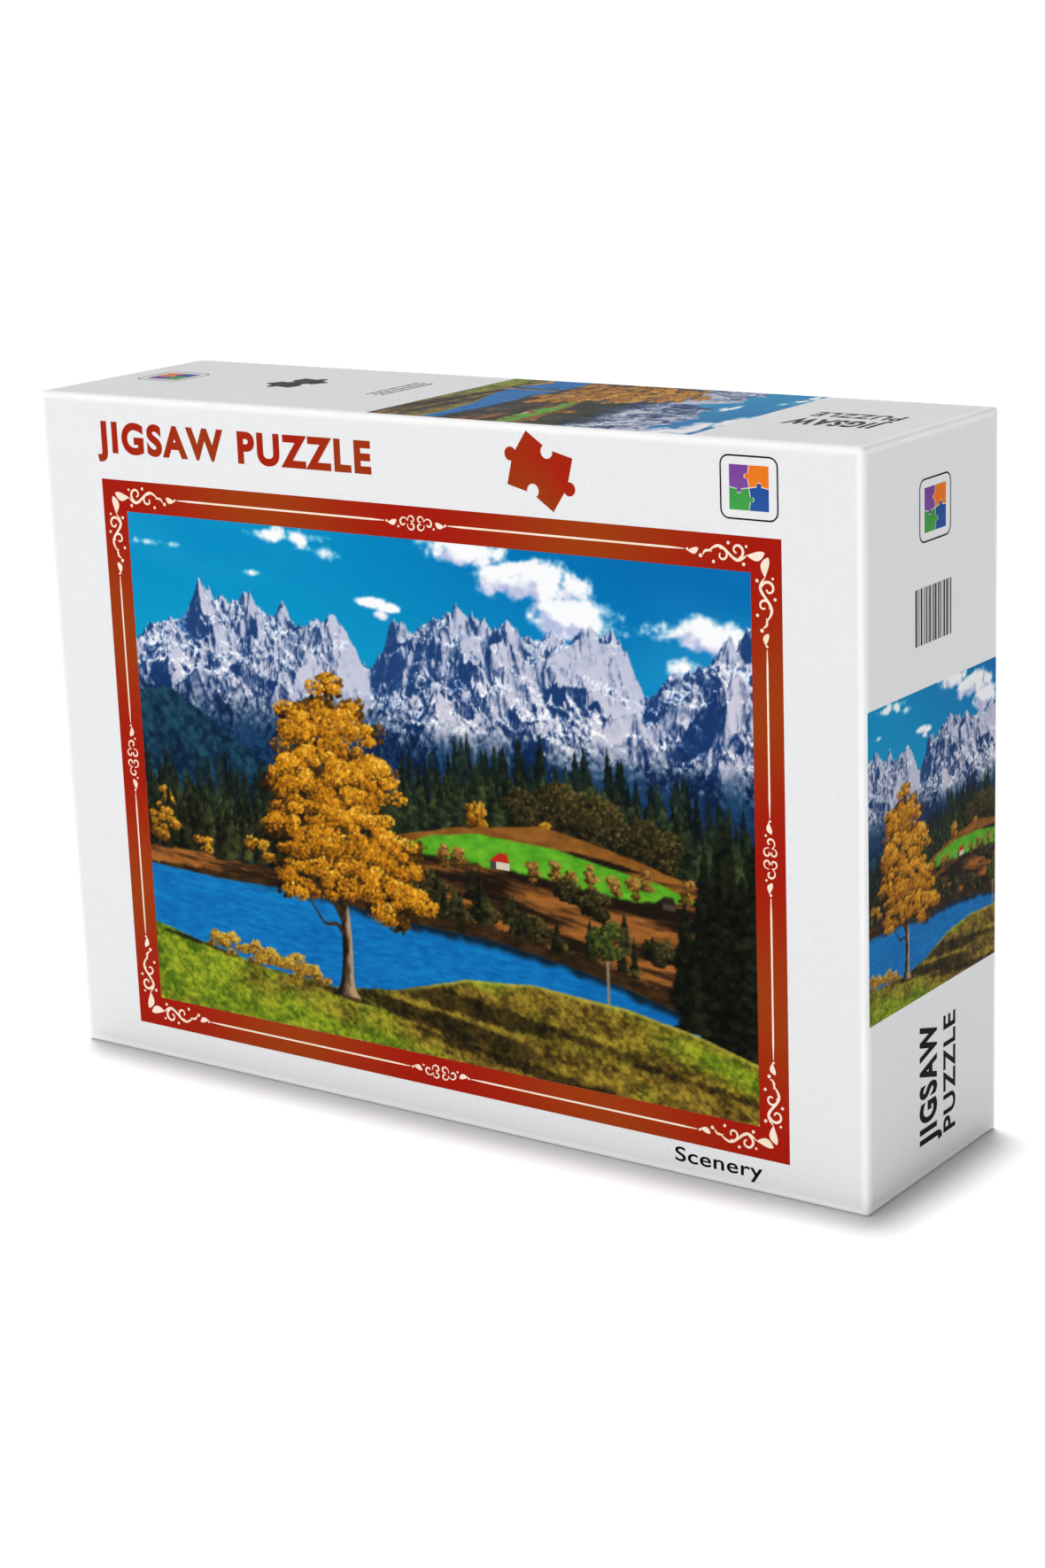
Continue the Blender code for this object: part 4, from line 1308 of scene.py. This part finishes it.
def cut_vents(vertices, faces):
    """Draw points onto the rims of two round vents in the film's front, and find the faces inside."""
    open_vent = np.zeros(len(faces), bool)
    for vent in (-VENT_SPREAD, VENT_SPREAD):
        away = vertices[:, [0, 2]] - (vent, VENT_HEIGHT)
        reach = np.linalg.norm(away, axis=1)
        near = (reach < VENT_RADIUS + 0.8 * MM) & (vertices[:, 1] < 0)
        inside = near & (reach < VENT_RADIUS - 0.1 * MM)
        open_vent |= inside[faces].any(1)
        edge = near & ~inside
        rim = away[edge] / reach[edge, None] * VENT_RADIUS + (vent, VENT_HEIGHT)
        vertices[edge[:, None] & [True, False, True]] = rim.ravel()
    return open_vent


def film_bag(bag, material):
    """The clear film: crumpled above the pieces, drawn into a ribbed heat seal with a cut edge."""
    heights = bag.profile()
    rows, columns = len(heights), FILM_COLUMNS
    x, z = np.meshgrid(np.linspace(-bag.half_width, bag.half_width, columns), heights)
    seed = 70 if bag.side == "left" else 80
    sheets = [film_sheet(bag, side, x, z, seed) for side in (-1, 1)]
    z[-1] -= SEAL_TOOTH * np.abs(np.arange(columns) % 4 - 2) / 2
    vertices = np.concatenate([np.stack([x, sheet, z], -1).reshape(-1, 3) for sheet in sheets])
    front = grid_faces(rows, columns)
    back = front[:, ::-1] + rows * columns
    foot = np.arange(columns - 1)
    floor = np.stack([foot + rows * columns, foot + rows * columns + 1, foot + 1, foot], -1)
    rise = np.arange(rows - 1) * columns
    left = np.stack([rise, rise + columns, rise + columns + rows * columns, rise + rows * columns], -1)
    faces = np.concatenate([front, back, floor, left, left[:, ::-1] + columns - 1])
    open_vent = cut_vents(vertices, faces)
    bm = bmesh.new()
    made = [bm.verts.new(place + np.array(bag.middle)) for place in vertices]
    for face in faces[~open_vent]:
        bm.faces.new([made[index] for index in face])
    bmesh.ops.delete(bm, geom=[vertex for vertex in bm.verts if not vertex.link_faces], context="VERTS")
    name = f"film_bag_{bag.side}"
    film = add_piece(name, mesh_from(bm, name), "tray", material)
    thicken(film, "Film", FILM)
    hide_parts(f"piece_bag_{bag.side}")


def dress_piece(bm):
    """Chamfer the printed side of a piece that faces -Y, and divide it so that it can hold a picture."""
    printed = max((face for face in bm.faces if face.normal.y < -0.9), key=lambda face: face.calc_area())
    rim = list(printed.verts)
    bmesh.ops.inset_region(bm, faces=[printed], thickness=PIECE_CHAMFER)
    for vertex in rim:
        vertex.co.y += PIECE_CHAMFER
    level = printed.verts[0].co.y
    low = np.min([vertex.co for vertex in bm.verts], 0)
    high = np.max([vertex.co for vertex in bm.verts], 0)
    for axis, normal in ((0, (1, 0, 0)), (2, (0, 0, 1))):
        for place in np.arange(low[axis] + PRINT_CELL, high[axis], PRINT_CELL):
            flat = [face for face in bm.faces
                    if face.normal.y < -0.9 and abs(face.verts[0].co.y - level) < 0.01 * MM]
            edges = list(dict.fromkeys(edge for face in flat for edge in face.edges))
            point = Vector(normal) * place
            bmesh.ops.bisect_plane(bm, geom=flat + edges, dist=1e-6, plane_co=point, plane_no=normal)
    bm.verts.index_update()
    places = np.array([vertex.co for vertex in bm.verts])
    faces = []
    for face in bm.faces:
        ring = [vertex.index for vertex in face.verts]
        start = ring.index(min(ring))
        faces.append(ring[start:] + ring[:start])
    faces.sort()  # bisecting leaves the faces in an order that varies from run to run
    bm.free()
    return places, faces, np.abs(places[:, 1] - level) < 0.01 * MM


def piece_colours(art, random, places, printed):
    """A patch of the painting on the printed side, and bare board on the rest."""
    colours = np.tile(np.array(GREYBOARD) * (0.85 + 0.25 * random.random()), (len(places), 1))
    u = random.random() * 0.96 + 0.02 + places[:, 0] / FINISHED_WIDTH
    v = random.random() * 0.94 + 0.03 + places[:, 2] / FINISHED_HEIGHT
    colours[printed] = sample_art(art, u[printed], v[printed])
    return colours


def front_pieces(art, material):
    """The separate pieces at the front of the bags keep their CAD outlines."""
    random = np.random.default_rng(21)
    for node in sorted(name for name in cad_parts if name.startswith("puzzle_piece_")):
        bm = bmesh.new()
        bm.from_mesh(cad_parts[node].data)
        bmesh.ops.remove_doubles(bm, verts=bm.verts, dist=1e-6)
        bmesh.ops.dissolve_limit(bm, angle_limit=math.radians(1), verts=bm.verts, edges=bm.edges)
        bm.normal_update()
        places, faces, printed = dress_piece(bm)
        name = node.replace("puzzle", "printed")
        mesh = make_mesh(name, places.tolist(), faces)
        set_print(mesh, piece_colours(art, random, places - places.mean(0), printed))
        piece = add_piece(name, mesh, "tray", material)
        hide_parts(node)


def piece_templates():
    """The six kinds of loose piece, standing around the origin with the printed side to -Y."""
    templates = []
    for knobs in LOOSE_KNOBS:
        bm = bmesh.new()
        outline = piece_outline(knobs, PIECE_SIZE, 8)
        face = bm.faces.new([bm.verts.new((x, BOARD_HALF, -z)) for x, z in outline])
        bm.normal_update()
        if face.normal.y < 0:
            bmesh.ops.reverse_faces(bm, faces=[face])
        front = bmesh.ops.extrude_face_region(bm, geom=[face])["geom"]
        for vertex in (item for item in front if isinstance(item, bmesh.types.BMVert)):
            vertex.co.y -= 2 * BOARD_HALF
        bmesh.ops.recalc_face_normals(bm, faces=bm.faces)
        bm.normal_update()
        templates.append(dress_piece(bm))
    return templates


def pile_path():
    """The pile's surface seen from its end: from the front foot over the top to the back's shoulder."""
    height = np.linspace(3 * MM, PILE_TOP, 60)
    ease = 0.5 + 0.5 * np.cos(np.pi * np.clip((height - PILE_SIDE) / (PILE_TOP - PILE_SIDE), 0, 1))
    fall = np.clip(BAG_BOTTOM_RADIUS - height, 0, None)
    depth = PILE_TOP_HALF + (PILE_HALF_DEPTH - PILE_TOP_HALF) * ease
    depth -= BAG_BOTTOM_RADIUS - np.sqrt(BAG_BOTTOM_RADIUS**2 - fall**2)
    front = np.stack([-depth, height], -1)
    back = front[::-1] * (-1, 1)
    path = np.concatenate([front, back[:40]])
    along = np.concatenate([[0], np.cumsum(np.linalg.norm(np.diff(path, axis=0), axis=1))])
    return path, along


def loose_pieces(bag, art, templates, material):
    """Layers of loose pieces over the visible sides of the pile, turned and tilted at random."""
    random = np.random.default_rng(31 if bag.side == "left" else 32)
    path, along = pile_path()
    vertices, faces, colours, count = [], [], [], 0
    for layer in range(PILE_LAYERS):
        pitch = PIECE_PITCH + layer * PITCH_GROWTH
        deep = (layer * 2.5 + 1.2) * MM
        for row in np.arange(random.random() * 0.6, along[-1] / pitch):
            for column in np.arange(-4.0, 4.1) + random.random() - 0.5:
                reach = np.clip((row + 0.25 * (random.random() - 0.5)) * pitch, 0, along[-1])
                y, z = (np.interp(reach, along, path[:, axis]) for axis in (0, 1))
                ahead = np.array([np.interp(reach + MM, along, path[:, axis]) for axis in (0, 1)])
                behind = np.array([np.interp(reach - MM, along, path[:, axis]) for axis in (0, 1)])
                slope = (ahead - behind) / (np.linalg.norm(ahead - behind) + 1e-9)
                lean = math.atan2(-slope[0], slope[1]) if row * pitch < along[-1] else 0.0
                x = column * pitch + 3 * MM * (random.random() - 0.5)
                tilt = np.radians(random.normal(0, 5 + 3 * (z > PILE_SIDE), 2))
                turn = Matrix.Rotation(lean + tilt[0], 4, "X") @ Matrix.Rotation(tilt[1], 4, "Z")
                turn = turn @ Matrix.Rotation(random.random() * 2 * math.pi, 4, "Y")
                if random.random() < FACE_DOWN_SHARE:
                    turn = turn @ Matrix.Rotation(math.pi, 4, "Z")
                if abs(x) > bag.half_width - 7 * MM:
                    continue
                places, outline, printed = templates[random.integers(len(templates))]
                inward = np.array((0, slope[1], -slope[0])) * deep
                placed = keep_in_bag(bag, places @ np.array(turn.to_3x3()).T + (x, y, z) + inward)
                vertices.append(placed + np.array(bag.middle))
                faces += [[count + index for index in face] for face in outline]
                colours.append(piece_colours(art, random, places, printed))
                count += len(places)
    name = f"loose_pile_{bag.side}"
    mesh = make_mesh(name, np.concatenate(vertices).tolist(), faces)
    set_print(mesh, np.concatenate(colours))
    pile = add_piece(name, mesh, "tray", material)
    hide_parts(f"loose_pieces_{bag.side}")


def keep_in_bag(bag, places):
    """Shift a piece until it lies inside the film, clear of the separate pieces at the front."""
    for _ in range(3):
        sideways = np.abs(places[:, 0]) - (bag.half_width - 4 * MM)
        worst = sideways.argmax()
        if sideways[worst] > 0:
            places = places - (math.copysign(sideways[worst], places[worst, 0]), 0, 0)
        places = places + (0, 0, max(2.0 * MM - places[:, 2].min(), 0))
        room = np.minimum(bag.depth(places[:, 0], places[:, 2]) - 1.6 * MM, PILE_HALF_DEPTH)
        excess = np.abs(places[:, 1]) - room
        worst = excess.argmax()
        if excess[worst] > 0:
            places = places - (0, math.copysign(excess[worst], places[worst, 1]), 0)
    return places


def pile_heart(bag, material):
    """The pieces deep in the pile, as one rough mass that shows only through its gaps."""
    path, along = pile_path()
    random = np.random.default_rng(41)
    columns, rows = 70, 60
    x = np.linspace(-0.9, 0.9, columns) * bag.half_width
    reach = np.linspace(0, along[-1], rows)
    shrink = np.interp(np.abs(x) / bag.half_width, *BAG_TAPER)
    y = np.interp(reach, along, path[:, 0]) * (1 - 15 * MM / PILE_HALF_DEPTH)
    z = np.interp(reach, along, path[:, 1]) * 0.86 + 4 * MM
    rough = 1.2 * MM * random.random((rows, columns))
    grid = [np.tile(x, (rows, 1)), y[:, None] * shrink + rough, np.tile(z[:, None], (1, columns)) + rough]
    vertices = np.stack(grid, -1).reshape(-1, 3) + np.array(bag.middle)
    name = f"pile_heart_{bag.side}"
    mesh = make_mesh(name, vertices.tolist(), grid_faces(rows, columns).tolist())
    heart = add_piece(name, mesh, "tray", material)
    thicken(heart, "Board", 2 * BOARD_HALF)


def folded_poster(art, material):
    """The poster: one sheet folded over its top edge twice, as two nested bends of paper."""
    low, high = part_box("reference_poster")
    middle, half = (low.y + high.y) / 2, (high.y - low.y) / 2
    vertices, faces, colours = [], [], []
    for nest, (columns, leaf_rows) in enumerate(POSTER_COLUMNS_AND_ROWS):
        radius = half * (1 - nest * NEST_SHRINK) - 0.06 * MM
        top = high.z - 0.5 * MM - nest * 1.2 * MM - radius
        foot = low.z + 0.3 * MM + nest * 0.9 * MM
        rise = np.linspace(foot, top, leaf_rows)
        angle = np.linspace(0, np.pi, 8)[1:-1]
        line = [(-radius, z) for z in rise]
        line += [(-radius * math.cos(a), top + radius * math.sin(a)) for a in angle]
        line = np.array(line + [(radius, z) for z in rise[::-1]])
        x = np.linspace(low.x + nest * 0.8 * MM, high.x - nest * 1.1 * MM, columns)
        grid = np.stack([np.tile(x, (len(line), 1)), np.tile(line[:, :1] + middle, (1, columns)),
                         np.tile(line[:, 1:], (1, columns))], -1)
        faces += (grid_faces(len(line), columns) + len(vertices)).tolist()
        vertices += grid.reshape(-1, 3).tolist()
        u = (grid[..., 0] - low.x) / (high.x - low.x)
        v = (grid[..., 2] - low.z) / (high.z - low.z)
        wide, tall = POSTER_SIZE
        margin = np.minimum(np.minimum(u, 1 - u) * wide, np.minimum(v, 1 - v) * tall) < POSTER_MARGIN
        plain = (np.arange(len(line)) >= leaf_rows)[:, None] | (nest == 1)
        picture = sample_art(art, np.clip((u - 0.03) * 0.5 + 0.5, 0, 0.999), np.clip(v * 0.5 + 0.5, 0, 0.999))
        colours.append(np.where((margin | plain)[..., None], POSTER_WHITE, picture).reshape(-1, 3))
    mesh = make_mesh("folded_poster", vertices, faces, smooth_shaded=True)
    set_print(mesh, np.concatenate(colours))
    poster = add_piece("folded_poster", mesh, "tray", material)
    thicken(poster, "Paper", POSTER_PAPER, 0.0)
    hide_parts("reference_poster")


def fill_tray(art, printed):
    die_cut, heap = die_cut_board("die_cut_board"), heap_board("heap_of_board")
    film = clear_film("clear_film")
    front_pieces(art, die_cut)
    templates = piece_templates()
    for side in ("left", "right"):
        bag = Bag(side)
        loose_pieces(bag, art, templates, die_cut)
        pile_heart(bag, heap)
        film_bag(bag, film)
    folded_poster(art, printed)


# ---------------------------------------------------------------- camera, light and floor

CAMERA_AZIMUTH = math.radians(35.73)
CAMERA_ELEVATION = math.radians(15.19)
CAMERA_ROLL = math.radians(-2.13)
CAMERA_DISTANCE = 4.343  # in box heights, as are the two offsets
CAMERA_ASIDE = -0.024
CAMERA_RAISED = 0.049
CAMERA_LENS = 70.3
KEY_LIGHT = (-1.0, -2.1, 1.0), (0, 0, 0.10), 1.2, 9.0  # place, target, size and power
RIM_LIGHT = (1.5, -0.1, 1.5), (0, 0, 0.15), 0.9, 2.6
OVERHEAD_RAYS = (0.045, -0.04, -1.0)
OVERHEAD_STRENGTH = 3.3
OVERHEAD_SOFTNESS = math.radians(4.5)
STUDIO_LEVELS = (("From Min", -0.3), ("From Max", 0.75), ("To Min", 0.97), ("To Max", 0.22))
FLOOR_HALF = 60  # metres, so that its edge is never seen


def add_camera():
    level_reach = math.cos(CAMERA_ELEVATION)
    back = Vector((math.sin(CAMERA_AZIMUTH) * level_reach, -math.cos(CAMERA_AZIMUTH) * level_reach,
                   math.sin(CAMERA_ELEVATION)))
    level = Vector((0, 0, 1)).cross(back).normalized()
    right = math.cos(CAMERA_ROLL) * level + math.sin(CAMERA_ROLL) * back.cross(level)
    up = back.cross(right)
    centre = Vector((0, 0, HEIGHT / 2))
    place = centre + HEIGHT * (CAMERA_DISTANCE * back - CAMERA_ASIDE * right - CAMERA_RAISED * up)
    camera_data = bpy.data.cameras.new("camera")
    camera_data.lens = CAMERA_LENS
    camera_data.clip_start = 0.01
    camera = bpy.data.objects.new("camera", camera_data)
    camera.matrix_world = Matrix.Translation(place) @ Matrix((right, up, back)).transposed().to_4x4()
    bpy.context.scene.collection.objects.link(camera)
    bpy.context.scene.camera = camera


def add_light(name, light_data, rays, place=(0, 0, 0)):
    light = bpy.data.objects.new(name, light_data)
    light.location = place
    light.rotation_euler = Vector(rays).to_track_quat("-Z", "Y").to_euler()
    bpy.context.scene.collection.objects.link(light)
    return light


def add_area(name, place, target, size, power):
    light_data = bpy.data.lights.new(name, "AREA")
    light_data.shape = "DISK"
    light_data.size = size
    light_data.energy = power
    add_light(name, light_data, Vector(target) - Vector(place), place)


def add_overhead(floor):
    """Soft light from straight above that only the floor receives: it draws the box's short shadow."""
    light_data = bpy.data.lights.new("overhead", "SUN")
    light_data.energy = OVERHEAD_STRENGTH
    light_data.angle = OVERHEAD_SOFTNESS
    light = add_light("overhead", light_data, OVERHEAD_RAYS)
    receivers = bpy.data.collections.new("overhead_receivers")
    receivers.objects.link(floor)
    light.light_linking.receiver_collection = receivers


def add_world():
    """A white studio whose right-hand side is dimmer, so that the box's right end falls into shade."""
    world = bpy.data.worlds.new("studio")
    world.use_nodes = True
    nodes, links = world.node_tree.nodes, world.node_tree.links
    background = nodes["Background"]
    direction = nodes.new("ShaderNodeTexCoord").outputs["Generated"]
    split = nodes.new("ShaderNodeSeparateXYZ")
    links.new(direction, split.inputs[0])
    level = nodes.new("ShaderNodeMapRange")
    level.interpolation_type = "SMOOTHSTEP"
    for socket, value in STUDIO_LEVELS:
        level.inputs[socket].default_value = value
    links.new(split.outputs["X"], level.inputs["Value"])
    links.new(level.outputs["Result"], background.inputs["Strength"])
    background.inputs["Color"].default_value = (1.0, 1.0, 1.0, 1.0)
    bpy.context.scene.world = world


def add_floor():
    corners = ((-FLOOR_HALF, -FLOOR_HALF, 0), (FLOOR_HALF, -FLOOR_HALF, 0),
               (FLOOR_HALF, FLOOR_HALF, 0), (-FLOOR_HALF, FLOOR_HALF, 0))
    mesh = make_mesh("floor", corners, [(0, 1, 2, 3)])
    floor = bpy.data.objects.new("floor", mesh)
    floor.location.z = CAD_BOUNDS[0][2]
    bpy.context.scene.collection.objects.link(floor)
    shading = Shading("floor_white", 0.9, Specular_IOR_Level=0.1)
    grain = shading.remap(shading.noise(3, 2), 0.3, 0.7)
    shading.colour(shading.blend(grain, (0.62, 0.62, 0.62), (0.64, 0.64, 0.64)))
    mesh.materials.append(shading.material)
    return floor


LID_WHITES = (0.80, 0.805, 0.815), (0.775, 0.78, 0.79)  # linear, as in coated_paper
TRAY_WHITES = (0.80, 0.80, 0.79), (0.76, 0.76, 0.75)


def mix_inks():
    inks = {
        "red": ink("brick_red_ink", (0.65, 0.12, 0.05), (0.60, 0.22, 0.07), 30),
        "cream": ink("cream_ink", (0.98, 0.91, 0.84), (0.96, 0.87, 0.76), 60),
        "black": ink("black_ink", (0.02, 0.02, 0.03), (0.06, 0.06, 0.07), 60),
    }
    inks["badge"] = (
        inks["black"],
        ink("green_ink", (0.20, 0.56, 0.30), (0.28, 0.62, 0.28)),
        ink("navy_ink", (0.13, 0.27, 0.55), (0.17, 0.34, 0.62)),
        ink("orange_ink", (0.90, 0.45, 0.12), (0.93, 0.53, 0.16)),
        ink("violet_ink", (0.45, 0.25, 0.58), (0.52, 0.32, 0.62)),
    )
    return inks


def main():
    bpy.context.scene.view_settings.view_transform = "Standard"
    add_camera()
    add_world()
    add_area("key", *KEY_LIGHT)
    add_area("rim", *RIM_LIGHT)
    add_overhead(add_floor())

    art = Painting().paint()
    lid_paper = coated_paper("lid_paper", *LID_WHITES, 0.42, (LID_LOW, LID_HIGH))
    tray_paper = coated_paper("tray_paper", *TRAY_WHITES, 0.55, (TRAY_LOW, TRAY_HIGH))
    wrap_box("lid_printed_wrap", "lid_wrap", 1, "lid", lid_paper)
    wrap_box("tray_paper_wrap", "tray_wrap", -1, "tray", tray_paper)
    printed, inks = printed_paper("printed_paper"), mix_inks()
    print_front(art, printed, inks)
    for side, face in (("right", RIGHT), ("left", LEFT)):
        print_end(side, face, art, printed, inks)
    for side, face in (("top", TOP), ("under", UNDER)):
        print_long(side, face, art, printed, inks)

    fill_tray(art, printed)
    board, stays = greyboard("greyboard_fibres"), kraft_tape("kraft_tape")
    for node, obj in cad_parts.items():
        if node.endswith("_board"):
            obj.material_slots[0].material = board
        elif "corner_stay" in node:
            obj.material_slots[0].material = stays


main()
